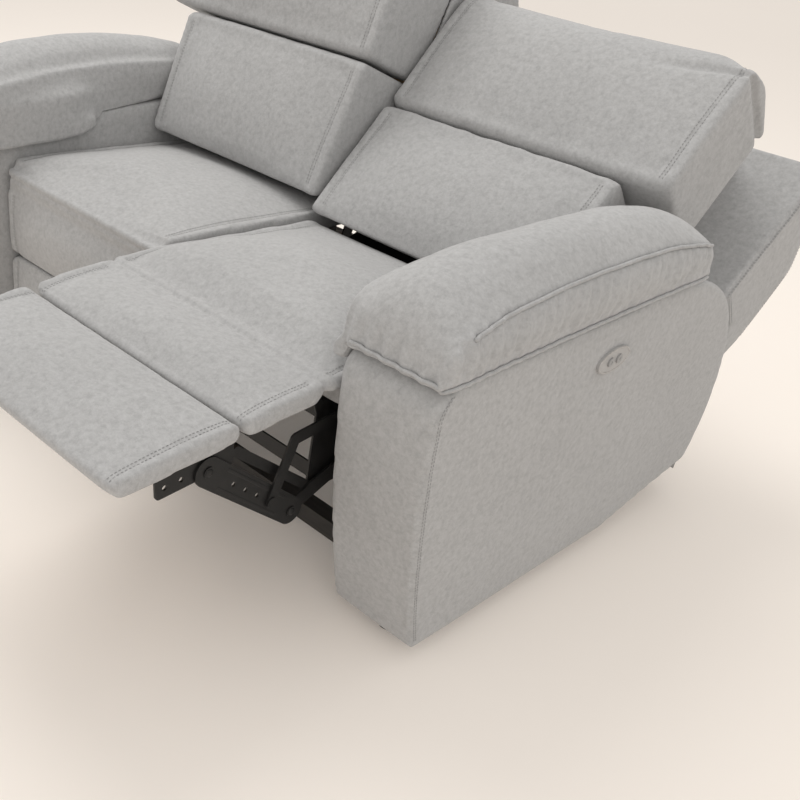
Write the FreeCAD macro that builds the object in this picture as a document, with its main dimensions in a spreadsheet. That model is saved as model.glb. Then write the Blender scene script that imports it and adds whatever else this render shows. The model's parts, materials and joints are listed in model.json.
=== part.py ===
import FreeCAD, Part
import json
import math
import os
import Sketcher
from FreeCAD import Placement, Rotation, Vector

# Two-seat power reclining sofa.
# X runs across the sofa, Y from the front to the back and Z up, in millimetres.
# The pieces are drawn with Y counted from the foot of the arm fronts and Z from the floor.
# Their placements then move the origin to the base of the middle foot.
# Both seats are drawn stretched out. The left seat's placements fold it shut.

DIMENSIONS = [
    ("overall_width", 1560, "outer face to outer face of the arms"),
    ("arm_width", 195, "one upholstered arm box"),
    ("floor_gap", 38, "underside of the arms above the floor"),
    ("arm_top", 577, "top of the arm box"),
    ("arm_base_depth", 610, "level part of the arm's underside"),
    ("arm_depth", 915, "foot of the arm's rear edge"),
    ("arm_rear_foot", 97, "height of the rear edge's foot"),
    ("arm_rear_bow", 11, "how far the rear edge leans out"),
    ("arm_rear_radius", 395, "bow of the rear edge"),
    ("arm_shoulder_height", 290, "height where the rear edge turns forward"),
    ("arm_shoulder_start", 620, "where the top turns down to the rear"),
    ("arm_shoulder_radius", 333, "round of the rear shoulder"),
    ("arm_front_lean", 84, "how far the arm front leans forward"),
    ("arm_front_height", 520, "height of the lean's end"),
    ("arm_front_radius", 2150, "bow of the arm front"),
    ("arm_nose_share", 84.2, "round of the top front corner in hundredths of its height"),
    ("cover_wall", 14, "arm upholstery and its board"),
    ("panel_thickness", 12, "plywood side of an arm frame"),
    ("arm_window_front", 140, "front of the first window in an arm frame"),
    ("arm_window_length", 160, "each window"),
    ("arm_window_pitch", 230, "from one window to the next"),
    ("arm_window_bottom", 150, "bottom of the windows"),
    ("arm_window_top", 310, "top of the windows"),
    ("spacer_depth", 40, "spacer blocks between the panels"),
    ("frame_clearance", 0.5, "gap between the arm frame and its cover"),
    ("pad_height", 98, "side boxing of the arm pad between its pipings"),
    ("pad_crown", 40, "swell of the arm pad above its piping"),
    ("pad_overhang", 12, "how far the arm pad stands out of the sofa's side"),
    ("pad_inset", 6, "inner edge of the arm pad short of the arm's inner side"),
    ("pad_overlap", 26, "how far the front of the arm pad swells over the seat"),
    ("roll_drop", 45, "how far the pad's roll hangs down inside the arm"),
    ("roll_width", 30, "roll across"),
    ("roll_front", 82, "front end of the roll before the arm's foot"),
    ("roll_rear", 280, "rear end of the roll behind the arm's foot"),
    ("roll_round", 10, "round corners of the roll"),
    ("pad_front", 92, "arm pad front before the arm's foot"),
    ("pad_rear", 672, "arm pad rear end"),
    ("pad_gap", 0.5, "gap between arm box and pad"),
    ("pad_bow", 5, "bow of the arm pad's sides"),
    ("pad_round", 24, "round corners of the arm pad"),
    ("plate_length", 96, "control plate along the arm"),
    ("plate_height", 46, "control plate upwards"),
    ("plate_thickness", 5, "control plate standing out of the arm"),
    ("plate_place", 390, "control plate centre from the arm's foot"),
    ("plate_level", 498, "control plate centre above the floor"),
    ("button_seat", 2, "button foot above the arm"),
    ("button_radius", 8, "push button"),
    ("button_pitch", 26, "distance between the two buttons"),
    ("button_height", 3, "button standing out of the plate"),
    ("button_travel", 1.5, "button travel"),
    ("button_clearance", 0.3, "gap round a button"),
    ("middle_gap", 6, "distance between the two seat assemblies"),
    ("side_gap", 3, "distance from a seat assembly to the arm"),
    ("seat_slide", 140, "forward travel of a seat"),
    ("seat_rear", 455, "rear end of the stretched seat"),
    ("seat_nose", 90, "seat cushion front before the arm's foot"),
    ("nose_step", 30, "root of the nose behind the footrest hinge"),
    ("nose_rise", 12, "underside of the nose above the footrest hinge"),
    ("seat_bottom", 440, "underside of the seat cushion"),
    ("seat_edge", 512, "top edge of the seat cushion"),
    ("seat_rear_drop", 30, "how much lower the seat's rear edge is"),
    ("seat_crown", 26, "swell of the seat cushion"),
    ("seat_corner", 8, "round corners of the seat cushion"),
    ("footrest_pivot_depth", 72, "footrest hinge before the arm's foot"),
    ("footrest_pivot_level", 474, "footrest hinge above the floor"),
    ("footrest_droop", 4, "slope of the stretched footrest in degrees"),
    ("footrest_swing", 86, "swing of the footrest in degrees"),
    ("footrest_front", 497, "front end of the footrest before the arm's foot"),
    ("crease_depth", 264, "crease between front pad and footrest"),
    ("crease_gap", 4, "gap in the crease"),
    ("pad_underside", 477, "underside of the footrest pads"),
    ("pad_edge", 514, "top edge of the footrest pads"),
    ("footrest_crown", 20, "swell of the footrest pads"),
    ("pad_corner", 13, "round corners of the footrest pads"),
    ("board_thickness", 10, "footrest board"),
    ("pad_rear_gap", 24, "footrest pads before the hinge line"),
    ("board_top_gap", 0.5, "gap between board and pads"),
    ("board_rear_gap", 28, "board before the hinge line"),
    ("board_front_gap", 27, "pads beyond the board"),
    ("board_inset", 59.5, "footrest board from the seat assembly's edge"),
    ("plate_inset", 53.5, "inner face of a mechanism plate from the seat assembly's edge"),
    ("steel", 4, "thickness of plates and links"),
    ("layer_gap", 0.6, "gap between links side by side"),
    ("lift_pivot_depth", 95, "lift link pivot behind the arm's foot"),
    ("lift_pivot_level", 330, "lift link pivot above the floor"),
    ("knee_depth", -105, "stretched knee pivot"),
    ("knee_level", 250, "stretched knee pivot above the floor"),
    ("bracket_pivot_back", 232, "bracket pivot before the footrest hinge"),
    ("bracket_pivot_drop", 52, "bracket pivot below the footrest hinge"),
    ("bar_drop", 6, "footrest bar below the hinge"),
    ("bar_half", 8, "half of the footrest bar's width"),
    ("bar_start", 28, "bend of the footrest bar before the hinge"),
    ("bar_length", 398, "footrest bar before the hinge"),
    ("flange_rear", 178, "hanging flange before the hinge"),
    ("flange_front", 330, "front end of the hanging flange"),
    ("flange_depth", 62, "hanging flange below the hinge"),
    ("flange_hole", 4.5, "holes in the hanging flange"),
    ("link_half", 15, "half of the lift link's width"),
    ("wide_half", 26, "half of the wide stamped link's width"),
    ("slim_half", 9, "half of the slim link's width"),
    ("curved_half", 11, "half of the curved link's width"),
    ("slim_pivot_offset", 64, "slim link's bracket end behind the bracket pivot"),
    ("slim_pivot_rise", 4, "the same end above the bracket pivot"),
    ("slim_pivot_away", -160, "slim link's knee end from the line between its ends"),
    ("curve_share", 28, "curved link's end along the wide link in hundredths"),
    ("curve_pivot_away", 200, "curved link's pivot from the line between its ends"),
    ("curve_bend_depth", -120, "bend of the curved link"),
    ("curve_bend_level", 402, "bend of the curved link above the floor"),
    ("lever_length", 70, "lever of the torque tube"),
    ("lever_inner", 11, "inner face of the lever from the seat's middle"),
    ("motor_pivot_depth", 330, "actuator hinge behind the arm's foot"),
    ("motor_pivot_level", 300, "actuator hinge above the floor"),
    ("cross_tube_radius", 14, "cross tube that carries the actuator"),
    ("motor_ring", 20, "actuator's rear eye"),
    ("housing_radius", 18, "actuator tube"),
    ("housing_length", 150, "actuator tube from its hinge"),
    ("bore_end", 24, "end of the actuator's bore from its hinge"),
    ("piston_radius", 10, "actuator rod"),
    ("piston_length", 148, "actuator rod"),
    ("eye_radius", 12, "eye of the actuator rod"),
    ("eye_half", 6, "half of the eye's thickness"),
    ("motor_radius", 26, "electric motor under the actuator tube"),
    ("motor_length", 90, "electric motor"),
    ("motor_drop", 40, "electric motor below the actuator tube's axis"),
    ("ring_half", 21, "half of the rear eye's width"),
    ("torque_radius", 12, "torque tube"),
    ("rivet_radius", 6, "pivot rivet"),
    ("head_radius", 10, "rivet head"),
    ("running_clearance", 0.08, "radial clearance of a pivot"),
    ("lobe_front", 150, "front of the plate's lower lobe"),
    ("lobe_rear", 370, "rear of the plate's lower lobe"),
    ("waist_level", 300, "plate above its lower lobe"),
    ("plate_band_level", 405, "plate's rear upper edge"),
    ("plate_front", -58, "front edge of a mechanism plate"),
    ("toe_level", 262, "lower end of the plate's front"),
    ("toe_rear", 20, "rear of the plate's front toe"),
    ("arch_front", 60, "arch between toe and lobe"),
    ("ear_radius", 9, "ear that carries the footrest hinge"),
    ("cross_rail", 30, "steel cross rails of the seat"),
    ("rail_inset", 10, "cross rails from the ends of the plates"),
    ("lower_rail_depth", -30, "lower cross rail before the arm's foot"),
    ("lower_rail_level", 270, "lower cross rail above the floor"),
    ("spring_wire", 4, "seat spring wire"),
    ("spring_width", 50, "seat spring zigzag"),
    ("spring_pitch", 26, "step of the zigzag"),
    ("spring_margin", 35, "outermost springs from the mechanism plates"),
    ("cloth_thickness", 1.5, "black deck cloth"),
    ("cloth_level", 403, "deck cloth above the floor"),
    ("runner_front", 150, "front end of a stretched runner"),
    ("runner_length", 400, "seat runner"),
    ("hinge_pin_radius", 8, "back hinge pin"),
    ("leg_half", 16, "half of the back bracket's width"),
    ("leg_overlap", 50, "back bracket along its post"),
    ("leg_heel_depth", 500, "heel of the back bracket"),
    ("leg_heel_level", 250, "heel of the back bracket above the floor"),
    ("back_pivot_depth", 334, "back hinge behind the arm's foot"),
    ("back_pivot_level", 238, "back hinge above the floor"),
    ("back_lean", 46, "stretched back from the upright in degrees"),
    ("back_swing", 24, "swing of the back in degrees"),
    ("back_corner_depth", 440, "lower front corner of the stretched back"),
    ("back_corner_level", 528, "the same corner above the floor"),
    ("lumbar_height", 262, "lumbar cushion up to the crease"),
    ("head_height", 338, "head cushion above the crease"),
    ("back_thickness", 205, "thickness of the back cushions"),
    ("back_crown", 26, "swell of the back cushions"),
    ("cushion_gap", 2, "seat and back cushions from the seat assembly's edge"),
    ("post_width", 36, "back frame post"),
    ("post_depth", 40, "back frame from front to back"),
    ("slat_depth", 18, "slats of the back frame"),
    ("slat_height", 44, "slats of the back frame upwards"),
    ("frame_foot", 45, "lower end of the back frame above the cushion's corner"),
    ("frame_top_gap", 8, "back frame below the outer back's top panel"),
    ("seat_fit", 0.3, "gap between soft pieces and what carries them"),
    ("lumbar_lip", 32, "lumbar cushion's lip below its corner"),
    ("lumbar_rise", 50, "rise of the lumbar cushion's underside"),
    ("crease_inset", 6, "back cushions at the crease behind their lower corner"),
    ("back_corner", 20, "round corners of the back cushions"),
    ("draw_in", 7, "how far the ends of a cushion draw in"),
    ("slight_bow", 2, "bow of a cushion's flat sides"),
    ("head_reach", 88, "head cushion beyond the seat's edge, above the arm pad"),
    ("head_round", 60, "round top of the head cushion"),
    ("shell_foot", 70, "lower front edge of the outer back"),
    ("shell_rear_foot", 168, "lower rear edge of the outer back"),
    ("shell_taper", 28, "bevel of the lower rear edge"),
    ("shell_shoulder", 476, "height where the rear slopes forward"),
    ("shell_slope", 90, "slope of the rear below the top"),
    ("wing_front", 318, "front edge of a wing"),
    ("wing_foot", 263, "lower front corner of a wing"),
    ("wing_step", 112, "level part of a wing's underside"),
    ("wing_drop", 52, "wing's lower tail"),
    ("wing_tail", 24, "small corners of a wing"),
    ("wing_radius", 900, "bow of a wing's rear edge"),
    ("wing_reach", 330, "wing behind the cushions"),
    ("wing_slope", 96, "slope at a wing's top rear"),
    ("wing_top", 602, "top of a wing"),
    ("wing_lean", 20, "how much a wing's front edge leans back"),
    ("shell_depth", 290, "upholstered outer back behind the cushions"),
    ("shell_height", 560, "outer back from its lower edge"),
    ("shell_wall", 12, "wall of the outer back"),
    ("wing_width", 172, "outer back beyond the seat, behind the arm"),
    ("rail_height", 40, "wooden base rails"),
    ("rail_bottom", 48, "underside of the base rails"),
    ("front_rail_depth", 100, "front face of the front base rail"),
    ("rear_rail_depth", 896, "front face of the rear base rail"),
    ("rail_thickness", 40, "base rails from front to back"),
    ("track_height", 28, "steel base track"),
    ("track_width", 18, "steel base track"),
    ("runner_height", 20, "seat runner on the track"),
    ("runner_gap", 0.4, "gap between runner and track"),
    ("front_foot_depth", 60, "front feet"),
    ("rear_foot_depth", 560, "rear feet"),
    ("skirt_inset", 22, "rear skirt short of the arm's outer face"),
    ("skirt_thickness", 6, "rear skirt"),
    ("skirt_top", 250, "upper edge of the rear skirt"),
    ("foot_radius", 22, "plastic glide"),
    ("middle_foot_depth", 450, "middle foot behind the arm's foot"),
]

DIM = {name: value for name, value, note in DIMENSIONS}
os.makedirs("parts", exist_ok=True)
doc = FreeCAD.newDocument("reclining_sofa")
sheet = doc.addObject("Spreadsheet::Sheet", "dims")
for row, (name, value, note) in enumerate(DIMENSIONS, start=1):
    sheet.set(f"A{row}", name)
    sheet.set(f"B{row}", str(value))
    sheet.set(f"C{row}", note)
    sheet.setAlias(f"B{row}", name)
doc.recompute()
NODES = {}


class Size:
    """A length with its value now and the formula that the sheet's cells give it."""

    def __init__(self, value, text):
        self.value = float(value)
        self.text = text

    def __add__(self, other):
        other = as_size(other)
        return Size(self.value + other.value, f"({self.text} + {other.text})")

    def __sub__(self, other):
        other = as_size(other)
        return Size(self.value - other.value, f"({self.text} - {other.text})")

    def __mul__(self, other):
        other = as_size(other)
        return Size(self.value * other.value, f"({self.text} * {other.text})")

    def __truediv__(self, other):
        other = as_size(other)
        return Size(self.value / other.value, f"({self.text} / {other.text})")

    def __neg__(self):
        return Size(-self.value, f"(0 - {self.text})")

    def __radd__(self, other):
        return as_size(other) + self

    def __rsub__(self, other):
        return as_size(other) - self

    def __rmul__(self, other):
        return as_size(other) * self

    def __float__(self):
        return self.value


def as_size(number):
    """A plain number as a length of its own."""
    return number if isinstance(number, Size) else Size(number, repr(float(number)))


class Dimensions:
    """The driving dimensions as lengths: dim.arm_width and so on."""

    def __getattr__(self, name):
        return Size(DIM[name], "dims." + name)


dim = Dimensions()
SEAT_SPAN = (dim.overall_width / 2 - dim.arm_width - dim.side_gap - dim.middle_gap / 2) / 2
PLATE_PLANE = SEAT_SPAN - dim.plate_inset
BOARD_SPAN = SEAT_SPAN - dim.board_inset
SEAT_HALF = float(SEAT_SPAN)
CUSHION_HALF = SEAT_HALF - DIM["cushion_gap"]


# Building blocks.

def bind(item, prop, value):
    """Sets a property and ties it to the sheet when its size has a formula."""
    item.setExpression(prop, as_size(value).text)


def box(x_range, y_range, z_range):
    """A block between two planes along each axis."""
    block = doc.addObject("Part::Box", "block")
    for prop, axis, span in zip(("Length", "Width", "Height"), "xyz", (x_range, y_range, z_range)):
        bind(block, prop, as_size(span[1]) - span[0])
        bind(block, f"Placement.Base.{axis}", span[0])
    return block


def rod(axis, radius, start, length):
    """A round bar from start along one of the axes."""
    bar = doc.addObject("Part::Cylinder", "bar")
    turns = {"x": Rotation(Vector(0, 1, 0), 90), "y": Rotation(Vector(1, 0, 0), -90), "z": Rotation()}
    bar.Placement = Placement(Vector(), turns[axis])
    bind(bar, "Radius", radius)
    bind(bar, "Height", length)
    for name, place in zip("xyz", start):
        bind(bar, f"Placement.Base.{name}", place)
    return bar


def cut(base, *tools):
    """The base with the tools taken away."""
    for tool in tools:
        result = doc.addObject("Part::Cut", "cut")
        result.Base = base
        result.Tool = tool
        base = result
    return base


def fuse(*solids):
    """Several solids grown together."""
    result = doc.addObject("Part::MultiFuse", "fusion")
    result.Shapes = list(solids)
    return result


def shaped(shape):
    """A solid drawn with arcs and lofts of its own."""
    feature = doc.addObject("Part::Feature", "form")
    feature.Shape = shape
    return feature


def outline(corners, x_range):
    """A flat piece whose side view runs counter-clockwise through the corners.

    A corner is a depth, a height and the radius of the round edge to the next one, or none."""
    body = doc.addObject("PartDesign::Body", "body")
    sketch = body.newObject("Sketcher::SketchObject", "profile")
    plane = next(item for item in body.Origin.OriginFeatures if item.Role == "YZ_Plane")
    sketch.AttachmentSupport = [(plane, "")]
    sketch.MapMode = "FlatFace"
    bind(sketch, "AttachmentOffset.Base.z", x_range[0])
    points = [Vector(float(corner[0]), float(corner[1]), 0) for corner in corners]
    for index, corner in enumerate(corners):
        start = points[index]
        end = points[(index + 1) % len(points)]
        sketch.addGeometry(edge_between(start, end, corner[2]), False)
    for index, corner in enumerate(corners):
        before = (index - 1) % len(corners)
        sketch.addConstraint(Sketcher.Constraint("Coincident", before, 2, index, 1))
        across = sketch.addConstraint(Sketcher.Constraint("DistanceX", -1, 1, index, 1, points[index].x))
        bind(sketch, f"Constraints[{across}]", corner[0])
        upward = sketch.addConstraint(Sketcher.Constraint("DistanceY", -1, 1, index, 1, points[index].y))
        bind(sketch, f"Constraints[{upward}]", corner[1])
        if corner[2] is not None:
            bend = sketch.addConstraint(Sketcher.Constraint("Radius", index, float(corner[2])))
            bind(sketch, f"Constraints[{bend}]", corner[2])
    pad = body.newObject("PartDesign::Pad", "pad")
    pad.Profile = sketch
    bind(pad, "Length", as_size(x_range[1]) - x_range[0])
    return body


def edge_between(start, end, radius):
    """A line, or an arc that bows outward, to the right of the way it runs."""
    if radius is None:
        return Part.LineSegment(start, end)
    chord = end - start
    half = chord.Length / 2
    reach = math.sqrt(float(radius) ** 2 - half ** 2)
    inward = Vector(-chord.y, chord.x, 0).normalize()
    centre = start + chord / 2 + inward * reach
    circle = Part.Circle(centre, Vector(0, 0, 1), float(radius))
    first = math.atan2(start.y - centre.y, start.x - centre.x)
    last = math.atan2(end.y - centre.y, end.x - centre.x)
    return Part.ArcOfCircle(circle, first, last)


def strap(points, half_width, layer, holes=(), hole_radius=0.0):
    """A flat steel strap with round ends through points of the side view, in one layer."""
    inner = layer_face(layer)
    thickness = DIM["steel"]
    pieces = []
    for depth, level in points:
        pieces.append(disc(depth, level, half_width, inner, thickness))
    for (first_depth, first_level), (depth, level) in zip(points, points[1:]):
        along = Vector(0, depth - first_depth, level - first_level)
        side = Vector(0, -along.z, along.y).normalize() * half_width
        start = Vector(inner, first_depth, first_level)
        corners = [start + side, start + along + side, start + along - side, start - side]
        face = Part.Face(Part.makePolygon(corners + corners[:1]))
        pieces.append(face.extrude(Vector(thickness, 0, 0)))
    solid = pieces[0].multiFuse(pieces[1:]).removeSplitter()
    for depth, level in holes:
        solid = solid.cut(disc(depth, level, hole_radius, inner - thickness, 3 * thickness))
    return solid


def disc(depth, level, radius, start, length):
    """A round plate or pin along X."""
    return Part.makeCylinder(radius, length, Vector(start, depth, level), Vector(1, 0, 0))


def layer_face(layer):
    """The inner face of a layer of links, counted outward from the mechanism plate."""
    return float(PLATE_PLANE) + layer * (DIM["steel"] + DIM["layer_gap"])


def rivet(point, first_layer, last_layer):
    """A rivet from the middle of one layer through the next ones, with its head outside."""
    inner = layer_face(first_layer) + DIM["steel"] / 2
    outer = layer_face(last_layer) + DIM["steel"] + DIM["layer_gap"] / 2
    shank = disc(*point, DIM["rivet_radius"], inner, outer - inner)
    head = disc(*point, DIM["head_radius"], outer, DIM["steel"] / 2)
    return shank.fuse(head)


def both_sides(shape):
    """A solid and its mirror image across the seat's middle."""
    return Part.makeCompound([shape, shape.mirror(Vector(), Vector(1, 0, 0))])


def rounded_wire(corners, bulges, radius, place):
    """A closed section with bowed sides and small round corners, put in space by place."""
    count = len(corners)
    points = [Vector(a, b, 0) for a, b in corners]
    spans = []
    for index in range(count):
        start = points[index]
        end = points[(index + 1) % count]
        along = (end - start).normalize()
        first = start + along * radius
        last = end - along * radius
        outward = Vector(along.y, -along.x, 0)
        middle = (first + last) / 2 + outward * max(bulges[index], 0.2)
        spans.append((first, middle, last))
    edges = []
    for index in range(count):
        first, middle, last = spans[index]
        following = spans[(index + 1) % count][0]
        corner = points[(index + 1) % count]
        turn = (last + following) / 2 * 0.586 + corner * 0.414
        edges.append(Part.Arc(place(first), place(middle), place(last)).toShape())
        edges.append(Part.Arc(place(last), place(turn), place(following)).toShape())
    return Part.Wire(edges)


def cushion(half_width, corners, bulges, radius, draw):
    """A crowned cushion across X whose ends draw in and lose their swell."""
    centre_a = sum(corner[0] for corner in corners) / len(corners)
    centre_b = sum(corner[1] for corner in corners) / len(corners)
    wires = []
    for share, drawn in CUSHION_SECTIONS:
        across = share * half_width
        swell = 1 - abs(share) ** 3
        section = []
        for a, b in corners:
            length = math.hypot(a - centre_a, b - centre_b)
            pull = drawn * draw / length
            section.append((a + (centre_a - a) * pull, b + (centre_b - b) * pull))
        bows = [bow * max(swell, 0.05) for bow in bulges]
        place = lambda point, across=across: Vector(across, point.x, point.y)
        wires.append(rounded_wire(section, bows, radius, place))
    return Part.makeLoft(wires, True, False)


CUSHION_SECTIONS = (
    (-1.0, 1.0),
    (-0.94, 0.3),
    (-0.82, 0.04),
    (-0.6, 0.0),
    (-0.3, 0.0),
    (0.0, 0.0),
    (0.3, 0.0),
    (0.6, 0.0),
    (0.82, 0.04),
    (0.94, 0.3),
    (1.0, 1.0),
)


# Placements.

def turn(point, degrees):
    """A turn about a line along X through a point of the side view."""
    return Placement(Vector(), Rotation(Vector(1, 0, 0), degrees), Vector(0, *point))


def shift(x=0.0, y=0.0, z=0.0):
    """A straight move."""
    return Placement(Vector(x, y, z), Rotation())


ORIGIN = shift(y=-DIM["middle_foot_depth"])


def node(label, placement, *solids):
    """One named piece, or a group of like pieces, at its place."""
    piece = doc.addObject("Part::Compound", label)
    piece.Label = label
    piece.Links = list(solids)
    piece.Placement = placement
    NODES[label] = piece


# Side-view geometry of the mechanism, stretched out, and the turns that fold it.

def turned(point, about, degrees):
    """A point of the side view after a turn about another."""
    angle = math.radians(degrees)
    depth = point[0] - about[0]
    level = point[1] - about[1]
    return (
        about[0] + depth * math.cos(angle) - level * math.sin(angle),
        about[1] + depth * math.sin(angle) + level * math.cos(angle),
    )


def bearing(start, end):
    """The direction from one point to another in degrees."""
    return math.degrees(math.atan2(end[1] - start[1], end[0] - start[0]))


def apart(start, end):
    """The distance between two points."""
    return math.hypot(end[0] - start[0], end[1] - start[1])


def meeting_point(centre, reach, other, other_reach):
    """Where two circles meet, on the rear lower side."""
    gap = apart(centre, other)
    along = (reach ** 2 - other_reach ** 2 + gap ** 2) / (2 * gap)
    across = math.sqrt(reach ** 2 - along ** 2)
    unit = ((other[0] - centre[0]) / gap, (other[1] - centre[1]) / gap)
    return (
        centre[0] + unit[0] * along - unit[1] * across,
        centre[1] + unit[1] * along + unit[0] * across,
    )


def equal_reach(first, second, away):
    """A point at the same distance from two others, so one link serves both ends."""
    middle = ((first[0] + second[0]) / 2, (first[1] + second[1]) / 2)
    gap = apart(first, second)
    normal = ((first[1] - second[1]) / gap, (second[0] - first[0]) / gap)
    return (middle[0] + normal[0] * away, middle[1] + normal[1] * away)


def along_line(start, end, share):
    """A point part of the way from one point to another."""
    return (start[0] + (end[0] - start[0]) * share, start[1] + (end[1] - start[1]) * share)


HINGE = (-DIM["footrest_pivot_depth"], DIM["footrest_pivot_level"])
LIFT = (DIM["lift_pivot_depth"], DIM["lift_pivot_level"])
KNEE = (DIM["knee_depth"], DIM["knee_level"])
BRACKET_FLAT = (HINGE[0] - DIM["bracket_pivot_back"], HINGE[1] - DIM["bracket_pivot_drop"])
SLIM_FLAT = (BRACKET_FLAT[0] + DIM["slim_pivot_offset"], BRACKET_FLAT[1] + DIM["slim_pivot_rise"])
FOLD = DIM["footrest_droop"] + DIM["footrest_swing"]
BRACKET = turned(BRACKET_FLAT, HINGE, DIM["footrest_droop"])
BRACKET_FOLDED = turned(BRACKET_FLAT, HINGE, FOLD)
SLIM_END = turned(SLIM_FLAT, HINGE, DIM["footrest_droop"])
SLIM_END_FOLDED = turned(SLIM_FLAT, HINGE, FOLD)
KNEE_FOLDED = meeting_point(LIFT, apart(LIFT, KNEE), BRACKET_FOLDED, apart(KNEE, BRACKET))
LIFT_TURN = (bearing(LIFT, KNEE_FOLDED) - bearing(LIFT, KNEE)) % 360
WIDE_TURN = bearing(KNEE_FOLDED, BRACKET_FOLDED) - bearing(KNEE, BRACKET) - LIFT_TURN
SLIM_END_IN_LIFT = turned(SLIM_END_FOLDED, LIFT, -LIFT_TURN)
SLIM_PIVOT = equal_reach(SLIM_END, SLIM_END_IN_LIFT, DIM["slim_pivot_away"])
SLIM_TURN = bearing(SLIM_PIVOT, SLIM_END_IN_LIFT) - bearing(SLIM_PIVOT, SLIM_END)
CURVE_END = along_line(KNEE, BRACKET, DIM["curve_share"] / 100)
CURVE_END_FOLDED = along_line(KNEE_FOLDED, BRACKET_FOLDED, DIM["curve_share"] / 100)
CURVE_PIVOT = equal_reach(CURVE_END, CURVE_END_FOLDED, DIM["curve_pivot_away"])
CURVE_TURN = (bearing(CURVE_PIVOT, CURVE_END_FOLDED) - bearing(CURVE_PIVOT, CURVE_END)) % 360
LEVER_END = (
    LIFT[0] - DIM["lever_length"] * math.sin(math.radians(LIFT_TURN / 2)),
    LIFT[1] - DIM["lever_length"] * math.cos(math.radians(LIFT_TURN / 2)),
)
LEVER_END_FOLDED = turned(LEVER_END, LIFT, LIFT_TURN)
MOTOR_PIVOT = (DIM["motor_pivot_depth"], DIM["motor_pivot_level"])
MOTOR_TILT = bearing(LEVER_END, MOTOR_PIVOT)
MOTOR_TURN = bearing(LEVER_END_FOLDED, MOTOR_PIVOT) - MOTOR_TILT
STROKE = apart(LEVER_END, MOTOR_PIVOT) - apart(LEVER_END_FOLDED, MOTOR_PIVOT)
BACK_PIVOT = (DIM["back_pivot_depth"], DIM["back_pivot_level"])
BACK_CORNER = (DIM["back_corner_depth"], DIM["back_corner_level"])


class Seat:
    """Where the moving groups of one seat stand, stretched out or folded."""

    def __init__(self, name, side, folded):
        self.name = name
        self.side = side
        middle = DIM["overall_width"] / 2 - DIM["arm_width"] - DIM["side_gap"] - SEAT_HALF
        slide = DIM["seat_slide"] if folded else 0.0
        self.frame = ORIGIN * shift(x=side * middle, y=slide)
        state = 1.0 if folded else 0.0
        self.footrest = self.frame * turn(HINGE, DIM["footrest_droop"] + state * DIM["footrest_swing"])
        self.lift = self.frame * turn(LIFT, state * LIFT_TURN)
        self.wide = self.lift * turn(KNEE, state * WIDE_TURN)
        self.slim = self.lift * turn(SLIM_PIVOT, state * SLIM_TURN)
        self.curved = self.frame * turn(CURVE_PIVOT, state * CURVE_TURN)
        self.motor = self.frame * turn(MOTOR_PIVOT, MOTOR_TILT + state * MOTOR_TURN)
        self.piston = self.motor * shift(y=state * STROKE)
        self.back = self.frame * turn(BACK_PIVOT, state * DIM["back_swing"])
        upright = Placement(Vector(0, *BACK_CORNER), Rotation(Vector(1, 0, 0), -DIM["back_lean"]))
        self.upholstery = self.back * upright


# Arms, base and feet.

def arm_outline(inset):
    """The side view of an arm box, drawn in by a wall."""
    wall = as_size(inset)
    nose_round = (dim.arm_top - dim.arm_front_height) * dim.arm_nose_share / 100
    return [
        (wall, dim.floor_gap + wall, None),
        (dim.arm_base_depth, dim.floor_gap + wall, None),
        (dim.arm_depth - wall, dim.arm_rear_foot + wall, dim.arm_rear_radius),
        (dim.arm_depth + dim.arm_rear_bow - wall, dim.arm_shoulder_height, dim.arm_shoulder_radius - wall),
        (dim.arm_shoulder_start, dim.arm_top - wall, None),
        (nose_round - dim.arm_front_lean, dim.arm_top - wall, nose_round),
        (wall - dim.arm_front_lean, dim.arm_front_height, dim.arm_front_radius),
    ]


def arm_ranges(side, inset):
    """The X range of an arm box, drawn in by a wall."""
    inner = dim.overall_width / 2 - dim.arm_width + inset
    outer = dim.overall_width / 2 - inset
    return (inner, outer) if side > 0 else (-outer, -inner)


def build_arm(name, side):
    """Arm cover with its frame, pad, control plate and two buttons."""
    cavity = dim.cover_wall
    frame_inset = dim.cover_wall + dim.frame_clearance
    outside = outline(arm_outline(0), arm_ranges(side, 0))
    cover = cut(outside, outline(arm_outline(cavity), arm_ranges(side, cavity)))
    node(f"{name}_arm_cover", ORIGIN, cover)
    inner, outer = arm_ranges(side, frame_inset)
    panel = dim.panel_thickness
    panels = [outline(arm_outline(frame_inset), (inner, inner + panel))]
    panels.append(outline(arm_outline(frame_inset), (outer - panel, outer)))
    window_levels = (dim.arm_window_bottom, dim.arm_window_top)
    windows = []
    spacers = []
    for place in (0, 1):
        front = dim.arm_window_front + dim.arm_window_pitch * place
        rear = front + dim.arm_window_length
        windows.append(box((inner, outer), (front, rear), window_levels))
        spacers.append(box((inner, outer), (rear, rear + dim.spacer_depth), window_levels))
    frame = cut(fuse(*panels, *spacers), *windows)
    node(f"{name}_arm_frame", ORIGIN, frame)
    node(f"{name}_arm_pad", ORIGIN, shaped(arm_pad(side)), shaped(arm_roll(side)))
    face = dim.overall_width / 2
    plate = control_plate(side)
    pockets = []
    for index, use in enumerate(("back", "forward")):
        shift_along = (index - 0.5) * dim.button_pitch
        place = dim.plate_place + shift_along
        reach = dim.plate_thickness + dim.button_height
        start = face + dim.button_seat
        length = reach - dim.button_seat
        low = start if side > 0 else -(start + length)
        button = rod("x", dim.button_radius, (low, place, dim.plate_level), length)
        hole_low = low if side > 0 else -(face + reach)
        hole = rod(
            "x",
            dim.button_radius + dim.button_clearance,
            (hole_low - dim.button_travel * 2, place, dim.plate_level),
            length + dim.button_travel * 4,
        )
        pockets.append(hole)
        node(f"{name}_{use}_button", ORIGIN, button)
    node(f"{name}_control_plate", ORIGIN, cut(plate, *pockets))


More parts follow.
